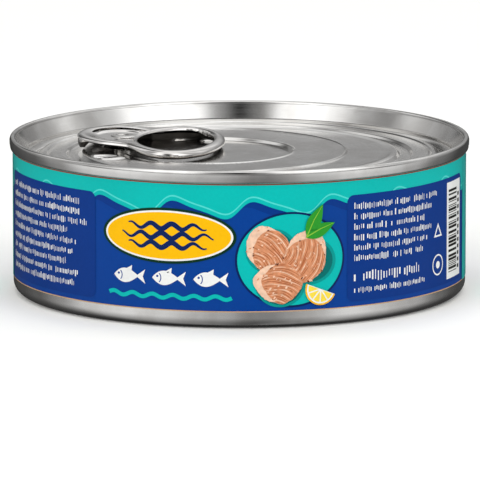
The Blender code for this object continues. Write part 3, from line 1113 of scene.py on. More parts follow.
    def rivet_head(self) -> bpy.types.Object:
        """Turns the flattened head that holds the tab, and moves it onto the rivet's place.

        Returns:
            The head.
        """
        profile = softened(list(self.rivet_profile), self.rivet_rounding)
        small_lathe = Turned(self.lathe, steps=self.rivet_steps)
        head = small_lathe.turn("rivet_head", profile, HEADED_TINPLATE.material())
        head.data.transform(Matrix.Translation((self.rivet[0] * MM, self.rivet[1] * MM, 0.0)))
        return head

    def build(self) -> None:
        """Turns the lid, presses its panel, heads its rivet and dresses them."""
        lid = self.turn("lid_shell", self.profile(), SEAMED_TINPLATE.material())
        self.press_panel(lid.data)
        for piece in (lid, self.rivet_head()):
            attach(piece, ROOT)
        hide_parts("lid")
        LOG.info("lid: %d faces", len(lid.data.polygons))


@dataclass
class PullTab:
    """The ring tab of bent steel: hemmed rim, finger hole, dished web with its slot, and the nose.

    It is shaped lying flat in its own frame, with the rivet at the origin and the nose along +X, and is
    then turned and tilted onto the rivet. Its section is a closed loop that runs from the finger hole's
    wrinkled hem over the top to the outer hem and back below.
    """

    rivet: Point = (-22.05, 5.396)
    yaw: float = 0.24  # in radians, as pitch and roll are
    pitch: float = 0.047
    roll: float = 0.025
    underside: float = 27.25
    thickness: float = 1.6
    nose_radius: float = 9.0
    ring_centre: float = -11.0
    ring_half: Point = (8.2, 14.1)
    neck_half: float = 9.6
    neck_sine: float = 0.8
    outline_blend: range = range(-12, 13, 2)
    hole_centre: float = -10.1
    hole_half: Point = (6.9, 11.1)
    hole_narrowing: float = 0.16
    steps: int = 400
    top_rows: int = 44
    under_rows: int = 9
    hem: tuple[Point, ...] = (  # the hole's full hem, as (outwards from the hole, height)
        (0.75, 0.2), (0.3, 0.28), (0.06, 0.5), (0.0, 0.8),
        (0.04, 1.1), (0.18, 1.36), (0.42, 1.53), (0.75, 1.6),
    )
    lip: tuple[Point, ...] = (  # the thin lip that takes the hem's place at the web
        (3.4, 1.0), (2.0, 0.96), (0.7, 1.0), (0.2, 1.06),
        (0.05, 1.18), (0.12, 1.36), (0.36, 1.5), (0.75, 1.6),
    )
    rim: tuple[Point, ...] = (  # the outer hem's side, as (inwards from the outline, height)
        (1.15, 1.6), (0.8, 1.56), (0.5, 1.45), (0.26, 1.28),
        (0.1, 1.06), (0.02, 0.82), (0.0, 0.66), (0.05, 0.6),
    )
    fold: tuple[Point, ...] = (  # and its fold below
        (0.55, 0.58), (0.72, 0.5), (0.52, 0.42), (0.3, 0.38),
        (0.36, 0.25), (0.58, 0.1), (0.95, 0.0), (1.8, 0.3),
    )
    under_insets: tuple[float, float, float] = (2.0, 1.3, 4.0)
    under_height: float = 0.5
    under_lip_rise: float = 0.45
    # the fold keeps bright steel for its first rows; the later fold rows, the underside and the hole's lowest
    # hem rows take the dark steel that paints the shade under the tab
    lit_fold_rows: int = 3
    painted_shade_hem_rows: int = 2
    web_dish: float = 0.42
    web_edge: Point = (4.8, 7.6)
    far_edge: Point = (0.3, 0.8)
    tongue_lift: float = 0.26
    tongue_radius: float = 4.95
    tongue_half: float = 0.8
    slot_radius: float = 6.15
    slot_width: float = 1.4
    slot_middle: float = -61.0
    slot_span: float = 118.0
    slot_points: int = 49
    slot_least: float = 0.05
    wrinkle: float = 0.1
    wrinkle_count: int = 46
    wrinkle_fade: Point = (0.5, 1.45)
    foot_place: Point = (7.6, 4.6)
    foot_reach: float = 3.4
    foot_drop: float = 1.65
    foot_inset: float = 1.0
    low_fade: Point = (0.1, 0.6)
    crush: float = 0.16
    crush_way: Point = (5.3, 3.1)
    far_drop: float = 1.2
    far_side: Point = (2.0, 7.0)
    far_nose: Point = (-15.0, -7.0)
    far_least: float = 0.4
    hem_thinning: float = 0.42
    thin_along: Point = (-8.0, -2.0)
    thin_across: Point = (0.5, 4.0)
    lip_span: Point = (-105.0, 24.0)
    lip_blend: Point = (14.0, 10.0)
    pivot_radius: float = 1.9
    dot_place: Point = (2.6, 4.3)
    dot_radius: float = 0.32
    dot_floor: float = 0.8
    notch: tuple[Point, ...] = ((-14.1, 12.9), (-12.7, 12.9), (-12.4, 15.0), (-14.4, 15.0))
    notch_heights: Point = (0.55, 1.02)
    sharp_angle: float = 42.0

    def ellipse_reach(self, angle: float, centre: float, half: Point) -> float:
        """How far a ray from the neck's middle runs to the far side of an oval on the tab's axis.

        Args:
            angle: The ray's direction, in radians.
            centre: The oval's place on the axis.
            half: The oval's half length and half width.

        Returns:
            The reach, or 0 where the ray misses the oval.
        """
        shift = 0.5 * self.ring_centre - centre
        a = (math.cos(angle) / half[0]) ** 2 + (math.sin(angle) / half[1]) ** 2
        b = shift * math.cos(angle) / half[0] ** 2
        c = (shift / half[0]) ** 2 - 1.0
        root = b * b - a * c
        return (-b + math.sqrt(root)) / a if root > 0.0 else 0.0

    def reach(self, angle: float) -> float:
        """How far the blank's outline is from the neck's middle: the ring, the nose or the neck.

        Args:
            angle: The direction from there, in radians.

        Returns:
            The distance.
        """
        ring = self.ellipse_reach(angle, self.ring_centre, self.ring_half)
        nose = self.ellipse_reach(angle, 0.0, (self.nose_radius, self.nose_radius))
        neck = self.neck_half if abs(math.sin(angle)) > self.neck_sine else 0.0
        return max(ring, nose, neck)

    def outer(self, inset: float) -> Outline:
        """Points round the blank, whose outline is rounded where its ovals meet.

        Args:
            inset: How far the outline is drawn in.

        Returns:
            The points, one for each step.
        """
        middle = 0.5 * self.ring_centre
        points = []
        for i in range(self.steps):
            angle = math.tau * i / self.steps
            around = [self.reach(angle + math.radians(k)) for k in self.outline_blend]
            reach = sum(around) / len(around) - inset
            points.append((middle + reach * math.cos(angle), reach * math.sin(angle)))
        return points

    def inner(self, grow: float) -> Outline:
        """Points round the finger hole, which is narrower towards the nose.

        Args:
            grow: How far the outline is let out.

        Returns:
            The points, one for each step.
        """
        length, width = self.hole_half
        points = []
        for i in range(self.steps):
            angle = math.tau * i / self.steps
            across = width * (1.0 - self.hole_narrowing * math.cos(angle)) + grow
            points.append((self.hole_centre + (length + grow) * math.cos(angle), across * math.sin(angle)))
        return points

    def lip_share(self, step: int) -> float:
        """Where the hole's edge is a thin lip of the web rather than a full hem.

        Args:
            step: The step round the hole.

        Returns:
            From 0, all hem, to 1, all lip.
        """
        turn = (360.0 * step / self.steps + 180.0) % 360.0 - 180.0
        (start, end), (first, last) = self.lip_span, self.lip_blend
        begun = smoothstep(start - first, start + first, turn)
        return begun * (1.0 - smoothstep(end - last, end + last, turn))

    def lifted(self, x: float, y: float, z: float) -> float:
        """A height in the tab's edge, squeezed upwards where the hem is thinner, on the nose's near side."""
        near = smoothstep(*self.thin_along, x) * smoothstep(*self.thin_across, y)
        return self.thickness - (self.thickness - z) * (1.0 - self.hem_thinning * near)

    def dish(self, x: float, y: float) -> float:
        """How far the top is pressed down: the web round the rivet, without its raised tongue.

        Args:
            x: Place along the tab.
            y: Place across the tab.

        Returns:
            The depth below the tab's top.
        """
        from_rivet = math.hypot(x, y)
        web = self.web_dish * (1.0 - smoothstep(*self.web_edge, from_rivet))
        far = smoothstep(*self.far_edge, math.cos(math.atan2(y, x) - math.radians(self.slot_middle)))
        return web - self.tongue_lift * far * bump(from_rivet - self.tongue_radius, self.tongue_half)

    def hem_section(self) -> list[Row]:
        """The finger hole's edge, which is wrinkled where it is hemmed.

        Returns:
            Its rows, from below upwards.
        """
        rows = []
        for (hem_grow, hem_z), (lip_grow, lip_z) in zip(self.hem, self.lip):
            edge = 1.0 - smoothstep(*self.wrinkle_fade, hem_z)
            row = []
            for i, ((x0, y0), (x1, y1)) in enumerate(zip(self.inner(hem_grow), self.inner(lip_grow))):
                angle, thin = math.tau * i / self.steps, self.lip_share(i)
                x, y, z = x0 + (x1 - x0) * thin, y0 + (y1 - y0) * thin, hem_z + (lip_z - hem_z) * thin
                uneven = 0.6 + 0.4 * math.sin(3.0 * angle + 1.0)
                wave = math.sin(self.wrinkle_count * angle + 2.0 * math.sin(5.0 * angle))
                ripple = self.wrinkle * edge * uneven * wave
                away = Vector((x - self.hole_centre, y)).normalized()
                row.append((x - away.x * ripple, y - away.y * ripple, z + 0.5 * ripple))
            rows.append(row)
        return rows

    def top_section(self) -> list[Row]:
        """The tab's top, between the two edges.

        Returns:
            Its rows, from the hole outwards.
        """
        first, last = self.inner(self.hem[-1][0]), self.outer(self.rim[0][0])
        rows = []
        for k in range(1, self.top_rows):
            t = k / self.top_rows
            flat = [(x0 + (x1 - x0) * t, y0 + (y1 - y0) * t) for (x0, y0), (x1, y1) in zip(first, last)]
            rows.append([(x, y, self.thickness - self.dish(x, y)) for x, y in flat])
        return rows

    def rim_section(self) -> list[Row]:
        """The outer hem, with its crumpled foot at the nose and its lowered far side.

        Returns:
            Its rows, from the top down and in below.
        """
        rows = []
        for inset, z in self.rim + self.fold:
            low = 1.0 - smoothstep(*self.low_fade, z)
            row = []
            for x, y in self.outer(inset):
                near = math.dist((x, y), self.foot_place) / self.foot_reach
                drop = self.foot_drop * bump(near, 1.0) * low if inset < self.foot_inset else 0.0
                crush = self.crush * drop * math.sin(self.crush_way[0] * x + self.crush_way[1] * y)
                towards_nose = self.far_least + (1.0 - self.far_least) * smoothstep(*self.far_nose, x)
                drop += self.far_drop * low * towards_nose * smoothstep(*self.far_side, -y)
                row.append((x + crush, y - crush, self.lifted(x, y, z) - drop))
            rows.append(row)
        return rows

    def under_section(self) -> list[Row]:
        """The tab's underside, between the outer fold and the hole's edge.

        Returns:
            Its rows, from outside inwards.
        """
        start, full_end, slim_end = self.under_insets
        first, full, slim = self.outer(start), self.inner(full_end), self.inner(slim_end)
        rows = []
        for k in range(self.under_rows):
            t = k / (self.under_rows - 1)
            row = []
            for i, ((x0, y0), (full_x, full_y), (slim_x, slim_y)) in enumerate(zip(first, full, slim)):
                thin = self.lip_share(i)
                x1, y1 = full_x + (slim_x - full_x) * thin, full_y + (slim_y - full_y) * thin
                x, y = x0 + (x1 - x0) * t, y0 + (y1 - y0) * t
                row.append((x, y, self.lifted(x, y, self.under_height + self.under_lip_rise * thin * t)))
            rows.append(row)
        return rows

    def plate(self) -> bpy.types.Object:
        """Joins the section's rows into the closed tab.

        Returns:
            The tab, still lying flat in its own frame, in millimetres.
        """
        rows = self.hem_section() + self.top_section() + self.rim_section() + self.under_section()
        first_painted_shade_row = len(self.hem) + self.top_rows - 1 + len(self.rim) + self.lit_fold_rows
        count, around = len(rows), self.steps
        faces = []
        for r in range(count):
            after = (r + 1) % count
            for i in range(around):
                j = (i + 1) % around
                faces.append((r * around + i, after * around + i, after * around + j, r * around + j))
        mesh = mesh_from("ring_tab", [point for row in rows for point in row], faces)
        shaped = bmesh.new()
        shaped.from_mesh(mesh)
        for index, face in enumerate(shaped.faces):
            row = index // around
            # painted shade: the hole's lowest hem rows, and the fold past its first rows with the underside,
            # take the dark steel
            face.material_index = 1 if row >= first_painted_shade_row or row < self.painted_shade_hem_rows else 0
        bmesh.ops.recalc_face_normals(shaped, faces=shaped.faces)
        shaped.to_mesh(mesh)
        shaped.free()
        return link_object("ring_tab", mesh)

    def prism(self, name: str, points: Outline, low: float, high: float) -> bpy.types.Object:
        """Makes a closed prism, which cuts the tab.

        Args:
            name: The prism's name.
            points: Its outline, counter-clockwise.
            low: The height of its lower end.
            high: The height of its upper end.

        Returns:
            The prism.
        """
        count = len(points)
        corners = [(x, y, low) for x, y in points] + [(x, y, high) for x, y in points]
        sides = [(i, (i + 1) % count, count + (i + 1) % count, count + i) for i in range(count)]
        caps = [tuple(reversed(range(count))), tuple(range(count, 2 * count))]
        return link_object(name, mesh_from(name, corners, sides + caps))

    def slot_outline(self) -> Outline:
        """The curved slot that frees the web's tongue, on the far side of the rivet.

        Returns:
            Its outline, which narrows towards both ends.
        """
        outer, inner = [], []
        for i in range(self.slot_points):
            turn = math.radians(self.slot_middle + self.slot_span * (i / (self.slot_points - 1) - 0.5))
            share = math.sin(math.pi * (i + 0.5) / self.slot_points)
            half = 0.5 * self.slot_width * math.sqrt(max(share, self.slot_least))
            for side, reach in ((outer, self.slot_radius + half), (inner, self.slot_radius - half)):
                side.append((reach * math.cos(turn), reach * math.sin(turn)))
        return outer + inner[::-1]

    def cut(self, tab: bpy.types.Object) -> None:
        """Cuts the pivot's hole, the slot, the small dimple and the notch in the hem.

        Args:
            tab: The tab, changed in place.
        """
        above = 2.0 * self.thickness
        pivot = oval((0.0, 0.0), (self.pivot_radius, self.pivot_radius), 60)
        dot = oval(self.dot_place, (self.dot_radius, self.dot_radius), 24)
        tools = [
            self.prism("pivot", pivot, -above, above),
            self.prism("slot", self.slot_outline(), -above, above),
            self.prism("dot", dot, self.dot_floor, above),
            self.prism("notch", list(self.notch), *self.notch_heights),
        ]
        for tool in tools:
            boolean = tab.modifiers.new(tool.name, "BOOLEAN")
            boolean.operation = "DIFFERENCE"
            boolean.solver = "EXACT"
            boolean.object = tool
        plain_mesh(tab)
        for tool in tools:
            bpy.data.objects.remove(tool)

    def build(self) -> None:
        """Shapes the tab, cuts its web, sets it on the rivet and dresses it."""
        tab = self.plate()
        # the second finish is the dark steel that paints the shade under the tab
        for finish in (BENT_STEEL, SHADE_DARKENED_STEEL):
            tab.data.materials.append(finish.material())
        self.cut(tab)
        turn = Matrix.Rotation(math.pi - self.yaw, 4, "Z") @ Matrix.Rotation(-self.pitch, 4, "Y")
        turn = turn @ Matrix.Rotation(-self.roll, 4, "X")
        place = Matrix.Translation(Vector((self.rivet[0], self.rivet[1], self.underside)))
        tab.data.transform(Matrix.Scale(MM, 4) @ place @ turn)
        tab.data.shade_smooth()
        tab.data.set_sharp_from_angle(angle=math.radians(self.sharp_angle))
        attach(tab, ROOT)
        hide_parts("pull_tab")
        LOG.info("pull tab: %d faces", len(tab.data.polygons))


def clip(points: Outline, limit: float, side: float) -> Outline:
    """Keeps the part of a flat polygon on one side of an upright line.

    Args:
        points: The polygon's corners.
        limit: The line's place along the wall.
        side: 1 to keep what lies past the line, -1 to keep what lies before it.

    Returns:
        The corners of the part that is kept.
    """
    kept = []
    for here, after in zip(points, points[1:] + points[:1]):
        in_here = side * (here[0] - limit) >= 0.0
        in_after = side * (after[0] - limit) >= 0.0
        if in_here:
            kept.append(here)
        if in_here != in_after:
            t = (limit - here[0]) / (after[0] - here[0])
            kept.append((limit, here[1] + t * (after[1] - here[1])))
    return kept


def moved(points: Outline, along: float, up: float, turn: float = 0.0, scale: float = 1.0) -> Outline:
    """Turns a flat outline, scales it and moves it."""
    c, s = math.cos(math.radians(turn)) * scale, math.sin(math.radians(turn)) * scale
    return [(along + x * c - y * s, up + x * s + y * c) for x, y in points]


def rounded(points: Outline, cuts: int = 3) -> Outline:
    """Rounds a closed outline by cutting its corners again and again.

    Args:
        points: The outline.
        cuts: How often every corner is cut.

    Returns:
        The rounded outline.
    """
    near, far = 0.75, 0.25
    for _ in range(cuts):
        cut: Outline = []
        for (x0, y0), (x1, y1) in zip(points, points[1:] + points[:1]):
            cut.append((near * x0 + far * x1, near * y0 + far * y1))
            cut.append((far * x0 + near * x1, far * y0 + near * y1))
        points = cut
    return points


def cross(start: Point, middle: Point, end: Point) -> float:
    """Twice the area of a triangle, above 0 where it turns counter-clockwise."""
    return (middle[0] - start[0]) * (end[1] - start[1]) - (middle[1] - start[1]) * (end[0] - start[0])


def hull(points: Outline) -> Outline:
    """Finds the outline that just holds all points.

    Args:
        points: The points, in any order.

    Returns:
        The outline, counter-clockwise.
    """
    halves = []
    for ordered in (sorted(points), sorted(points, reverse=True)):
        half: Outline = []
        for point in ordered:
            while len(half) > 1 and cross(half[-2], half[-1], point) <= 0.0:
                half.pop()
            half.append(point)
        halves.append(half[:-1])
    return halves[0] + halves[1]


def inside(spot: Point, outline: Outline) -> bool:
    """Tells whether a place lies within a closed outline.

    Args:
        spot: The place.
        outline: The outline.

    Returns:
        True where it does.
    """
    odd = False
    for (x0, y0), (x1, y1) in zip(outline, outline[1:] + outline[:1]):
        if (y0 > spot[1]) != (y1 > spot[1]) and spot[0] < x0 + (spot[1] - y0) * (x1 - x0) / (y1 - y0):
            odd = not odd
    return odd


def box(left: float, low: float, right: float, high: float) -> Outline:
    """A box with square corners."""
    return [(left, low), (right, low), (right, high), (left, high)]


def rounded_box(left: float, low: float, right: float, high: float, corner: float) -> Outline:
    """A box with round corners.

    Args:
        left: Its left side.
        low: Its lower side.
        right: Its right side.
        high: Its upper side.
        corner: The corners' radius.

    Returns:
        The outline, counter-clockwise.
    """
    centres = box(left + corner, low + corner, right - corner, high - corner)
    points: Outline = []
    for k, centre in zip((-1, 0, 1, 2), centres[1:] + centres[:1]):
        points += arc(centre, (corner, corner), 90.0 * k, 90.0 * (k + 1), 6)
    return points


def stroke(path: Outline, width: Callable[[float], float]) -> Outline:
    """The outline of a line drawn along a path.

    Args:
        path: Points along the line.
        width: The line's width by the share of its way, from 0 to 1.

    Returns:
        The line's outline.
    """
    left, right = [], []
    last = len(path) - 1
    for i, point in enumerate(path):
        before, after = Vector(path[max(i - 1, 0)]), Vector(path[min(i + 1, last)])
        way = (after - before).normalized()
        half = 0.5 * width(i / last)
        left.append((point[0] - way.y * half, point[1] + way.x * half))
        right.append((point[0] + way.y * half, point[1] - way.x * half))
    return right + left[::-1]


@dataclass
class InkPlate:
    """One ink's shapes at one level of the print, laid flat as (along the wall, up the wall)."""

    name: str
    ink: Ink
    level: int
    shapes: list[list[Outline]] = field(default_factory=list)

    def add(self, *loops: Outline) -> None:
        """Adds a filled outline, and the outlines of its holes."""
        self.shapes.append(list(loops))

    def flat_mesh(self, pitch: float) -> bpy.types.Mesh:
        """Cuts the shapes into upright strips, so that they bend round the wall.

        Args:
            pitch: The strips' width.

        Returns:
            The flat mesh, in metres.
        """
        points: list[tuple] = []
        faces: list[tuple] = []
        for loops in self.shapes:
            corners = [corner for loop in loops for corner in loop]
            for triangle in tessellate_polygon([[Vector((u, v, 0.0)) for u, v in loop] for loop in loops]):
                flat = [corners[i] for i in triangle]
                first = math.floor(min(u for u, _ in flat) / pitch)
                last = math.ceil(max(u for u, _ in flat) / pitch)
                for k in range(first, last):
                    strip = clip(clip(flat, k * pitch, 1.0), (k + 1) * pitch, -1.0)
                    if len(strip) > 2:
                        start = len(points)
                        points += [(u * MM, v * MM, 0.0) for u, v in strip]
                        faces.append(tuple(range(start, start + len(strip))))
        return mesh_from(self.name, points, faces)


@dataclass(frozen=True)
class Page:
    """A block of small print: where its first row starts, how many marks it has and how they lie."""

    name: str
    along: float
    up: float
    columns: int
    rows: int
    pitch: float
    row_pitch: float
    height: float
    gap_share: float
    ragged: float
    seed: int


PAGES = (
    Page("left", -58.6, 22.0, 61, 9, 0.47, 1.95, 0.8, 0.13, 0.22, 3),
    Page("right", 22.2, 22.0, 49, 6, 0.47, 1.95, 0.8, 0.15, 0.25, 11),
    Page("bold", 22.2, 8.7, 26, 1, 0.66, 1.6, 1.25, 0.15, 0.0, 19),
    Page("foot", 22.2, 6.3, 40, 1, 0.45, 1.6, 0.75, 0.15, 0.0, 27),
)


@dataclass
class Print:
    """The wall's print: fields of colour and simple shapes in ink, wrapped round the cup twice.

    Places are (along the wall, up the wall), with the front's middle at 0.
    """

    wrap: ShapeTree
    page: ShapeTree
    radius: float = 42.85
    low: float = 3.3
    high: float = 27.0
    level_step: float = 0.016
    cut_pitch: float = 1.2
    repeats: int = 2
    band_steps: int = 540
    crest_height: float = 22.2
    crest_reach: float = 1.6
    crest_lean: float = 0.55
    crest_waves: int = 9
    panel_corner: float = 1.4
    panel_sides: tuple[Point, Point] = ((-60.5, -28.6), (20.6, 56.4))
    panel_span: Point = (4.3, 24.2)
    bar_seed: int = 8
    mark_along: float = 44.6
    badge_middle: Point = (-13.6, 17.2)
    dish_middle: Point = (9.6, 12.9)
    plates: dict[str, InkPlate] = field(default_factory=dict)
    materials: dict[Ink, bpy.types.Material] = field(default_factory=dict)

    @property
    def period(self) -> float:
        """The width of one repeat round the wall."""
        return math.tau * self.radius / self.repeats

    def material(self, ink: Ink) -> bpy.types.Material:
        """Finds an ink's material, or makes it the first time.

        Args:
            ink: The ink; those of the fish have a coarser, stronger mottle, like cooked flesh.

        Returns:
            The material.
        """
        if ink not in self.materials:
            fleshy = ink.name.startswith("SALMON")
            printed = PrintedInk(ink, mottle=0.22, mottle_size=0.7) if fleshy else PrintedInk(ink)
            self.materials[ink] = printed.material()
        return self.materials[ink]

    def ink(self, name: str, ink: Ink, level: int, *loops: Outline) -> None:
        """Adds a shape to a plate, once in each repeat.

        Args:
            name: The plate's name.
            ink: The plate's ink.
            level: Its level above the metal.
            *loops: The shape's outline, and those of its holes.
        """
        plate = self.plates.setdefault(name, InkPlate(f"print_{name}", ink, level))
        for repeat in range(self.repeats):
            plate.add(*[[(u + repeat * self.period, v) for u, v in loop] for loop in loops])

    def band(
        self, name: str, ink: Ink, level: int, low: Callable[[float], float], high: Callable[[float], float]
    ) -> None:
        """Adds a band round the whole repeat.

        Args:
            name: The plate's name.
            ink: The plate's ink.
            level: Its level above the metal.
            low: The lower edge's height by the place along the wall.
            high: The upper edge's height.
        """
        start = -0.5 * self.period
        places = [start + self.period * i / self.band_steps for i in range(self.band_steps + 1)]
        for left, right in zip(places, places[1:]):
            corners = [(left, low(left)), (right, low(right)), (right, high(right)), (left, high(left))]
            self.ink(name, ink, level, corners)

    def crest(self, along: float, shift: float = 0.0) -> float:
        """The wavy lower edge of the top band, whose crests lean like swell."""
        turn = math.tau * self.crest_waves * (along + shift) / self.period
        return self.crest_height + self.crest_reach * math.sin(turn + self.crest_lean * math.sin(turn))

    def fields(self) -> None:
        """Lays the ground colour, the wavy top band and the coloured edges of the bare metal."""
        foot, top = self.low, self.high
        shade_shift, shade_drop = 1.1, 1.0
        line_low, line_high = 0.75, 1.05
        below_foot, above_foot, seam_half = 0.05, 0.14, 0.12
        self.band("ground", Ink.BLUE, Layer.GROUND, lambda u: foot, lambda u: top)
        self.band(
            "top_shade",
            Ink.NAVY,
            Layer.SHADE,
            lambda u: self.crest(u, shade_shift) - shade_drop,
            lambda u: top,
        )
        self.band("top_band", Ink.TEAL, Layer.BAND, self.crest, lambda u: top)
        self.band(
            "top_line",
            Ink.PALE_TEAL,
            Layer.LINE,
            lambda u: self.crest(u) + line_low,
            lambda u: self.crest(u) + line_high,
        )
        self.band(
            "foot_line", Ink.TAN, Layer.LINE, lambda u: foot - below_foot, lambda u: foot + above_foot
        )
        self.band(
            "seam_line", Ink.OXIDE, Layer.LINE, lambda u: top - seam_half, lambda u: top + seam_half
        )

    def panels(self) -> None:
        """Lays the two dark panels for small print, the side strip and the bar panel."""
        low, high = self.panel_span
        for left, right in self.panel_sides:
            self.ink("panels", Ink.NAVY, Layer.PANEL, rounded_box(left, low, right, high, self.panel_corner))
        self.ink("side_strip", Ink.TEAL, Layer.PANEL, box(58.2, self.low, 72.4, self.high - 1.0))
        self.ink("bar_panel", Ink.WHITE, Layer.SIGN, box(48.3, 5.0, 55.6, 23.3))
        self.bars()
        self.marks()

    def bars(self) -> None:
        """Lays a column of bars of mixed thickness, which follow no code, and one of equal blocks."""
        dice = random.Random(self.bar_seed)
        (left, right), up, end = (49.1, 53.4), 6.2, 21.8
        while up < end:
            thick = dice.choice((0.16, 0.16, 0.32, 0.48))
            self.ink("bars", Ink.BLACK, Layer.DETAIL, box(left, up, right, up + thick))
            up += thick + dice.choice((0.18, 0.18, 0.34, 0.5))
        (left, right), up, end = (53.9, 54.9), 6.4, 21.4
        thick, pitch = 0.7, 1.25
        while up < end:
            self.ink("bars", Ink.BLACK, Layer.DETAIL, box(left, up, right, up + thick))
            up += pitch

    def marks(self) -> None:
        """Lays a plain triangle, and a ring round a dot, beside the bars."""
        reach, line_share = 1.75, 0.62
        corners = [math.radians(turn) for turn in (90, 210, 330)]
        triangle = [(reach * math.cos(a), reach * math.sin(a)) for a in corners]
        hole = [(x * line_share, y * line_share) for x, y in triangle]
        along, up = self.mark_along, 14.6
        self.ink("marks", Ink.WHITE, Layer.SIGN, moved(triangle, along, up), moved(hole, along, up))
        middle, outer, inner, dot = (along, 8.4), (2.0, 2.0), (1.72, 1.72), (0.7, 0.7)
        self.ink("marks", Ink.WHITE, Layer.SIGN, oval(middle, outer), oval(middle, inner))
        self.ink("marks", Ink.WHITE, Layer.SIGN, oval(middle, dot, 24))

    def badge(self) -> None:
        """Lays the yellow oval with its waves, the row of fish and the teal swell line."""
        middle = self.badge_middle
        for name, ink, level, half in (
            ("oval_edge", Ink.DARK_GREEN, Layer.PANEL, (13.1, 5.2)),
            ("oval_key", Ink.WHITE, Layer.SIGN, (12.5, 4.7)),
            ("oval", Ink.YELLOW, Layer.DETAIL, (12.1, 4.35)),
        ):
            self.ink(name, ink, level, oval(middle, half, 96))
        steps, wave_reach, wave_turn = 72, 0.5, 1.55
        for row, (half, rise) in enumerate(((7.6, 1.75), (8.9, 0.0), (7.6, -1.75))):
            path = []
            for i in range(steps + 1):
                along = -half + 2.0 * half * i / steps
                wave = wave_reach * math.sin(wave_turn * along + row * math.pi)
                path.append((middle[0] + along, middle[1] + rise + wave))
            line = stroke(path, lambda t: 0.25 + 0.75 * math.sin(math.pi * t))
            self.ink("oval_waves", Ink.MIDNIGHT, Layer.FINE, line)
        for k in range(3):
            self.fish(-21.4 + 7.9 * k, 9.3)
        start, length, up, swell = -25.4, 24.0, 5.9, 0.32
        path = [(start + length * i / 90, up + swell * math.sin(math.tau * i / 15)) for i in range(91)]
        self.ink("swell_line", Ink.TEAL, Layer.SIGN, stroke(path, lambda t: 0.75))

    def fish(self, along: float, up: float) -> None:
        """Lays a plain fish sign: an almond body with a forked tail, a gill line and an eye.

        Args:
            along: The fish's place along the wall.
            up: Its height on the wall.
        """
        shares = [i / 24 for i in range(25)]
        body = [(-2.9 + 5.2 * t, 1.35 * math.sin(math.pi * t ** 0.85)) for t in shares]
        under = [(x, -y) for x, y in reversed(body[1:-1])]
        tail = [(1.7, 0.0), (3.6, 1.35), (3.1, 0.0), (3.6, -1.35)]
        fin = [(-0.6, 1.1), (0.9, 1.95), (0.8, 0.9)]
        for part in ([*under[::-1], *body[::-1]], tail[::-1], fin):
            self.ink("fish", Ink.WHITE, Layer.SIGN, moved(part, along, up))
        eye = oval((-1.9, 0.3), (0.22, 0.22), 16)
        gill = stroke(arc((-2.2, 0.0), (1.0, 1.1), -48.0, 48.0, 12), lambda t: 0.18)
        for part in (eye, gill):
            self.ink("fish_marks", Ink.BLUE, Layer.DETAIL, moved(part, along, up))

    def leaf(self, along: float, up: float, length: float, turn: float) -> None:
        """Lays a pointed bay leaf with its pale midrib.

        Args:
            along: The stalk's place along the wall.
            up: Its height on the wall.
            length: The leaf's length.
            turn: The way that it points.
        """
        wide = 0.2 * length
        shares = [i / 20 for i in range(21)]
        edge = [(length * t, wide * math.sin(math.pi * t ** 0.8)) for t in shares]
        under = [(x, -y) for x, y in reversed(edge[1:-1])]
        self.ink("leaves", Ink.LEAF, Layer.GARNISH, moved((edge + under)[::-1], along, up, turn))
        path = [(0.0, 0.0), (0.5 * length, 0.03 * length), (0.94 * length, 0.0)]
        rib = stroke(path, lambda t: 0.24 * (1.0 - 0.7 * t))
        self.ink("leaf_ribs", Ink.LIME, Layer.GARNISH + 1, moved(rib, along, up, turn))

    def lemon(self, along: float, up: float, radius: float, turn: float) -> None:
        """Lays a half slice of lemon: peel, pith and flesh in wedges.

        Args:
            along: The slice's place along the wall.
            up: Its height on the wall.
            radius: Its radius.
            turn: The way that its straight side points.
        """
        rinds = (("peel", Ink.YELLOW, 1.0), ("pith", Ink.WHITE, 0.9))
        for over, (name, ink, share) in enumerate(rinds):
            half = arc((0.0, 0.0), (radius * share, radius * share), 0.0, 180.0, 32)
            self.ink(f"lemon_{name}", ink, Layer.GARNISH + over, moved(half, along, up, turn))
        wedges, gap, span = 5, 3.0, 30.0
        flesh, core = 0.8 * radius, 0.14 * radius
        for k in range(wedges):
            start = 180.0 * k / wedges + gap
            rim = arc((0.0, 0.0), (flesh, flesh), start, start + span, 6)
            middle = math.radians(start + 0.5 * span)
            tip = (core * math.cos(middle), core * math.sin(middle))
            self.ink("lemon_wedges", Ink.LEMON, Layer.GARNISH + 2, moved([tip, *rim], along, up, turn))

    def dish(self) -> None:
        """Lays the teal disc with the chunks of fish, their shade, the leaves and the lemon."""
        self.ink("disc_edge", Ink.MIDNIGHT, Layer.PANEL, oval(self.dish_middle, (10.4, 8.9), 96))
        self.ink("disc", Ink.TEAL, Layer.SIGN, oval(self.dish_middle, (10.0, 8.5), 96))
        self.leaf(12.5, 17.2, 6.6, 62.0)
        self.leaf(12.3, 17.0, 6.2, 24.0)
        chunks = [
            FishChunk(self, (5.7, 15.3), 0.98, 12.0, 3, Layer.FISH),
            FishChunk(self, (13.0, 13.2), 1.02, -52.0, 7, Layer.FISH + 4),
            FishChunk(self, (7.4, 8.9), 0.95, 46.0, 11, Layer.FISH + 8),
        ]
        for name, ink, level, reach in (
            ("soft_shade", Ink.SHADE_TEAL, Layer.DETAIL, 4.9),
            ("shade", Ink.DEEP_TEAL, Layer.FINE, 4.3),
        ):
            for chunk in chunks:
                self.ink(name, ink, level, chunk.shade(reach))
        for chunk in chunks:
            chunk.build()
        self.lemon(15.2, 7.2, 3.0, 158.0)

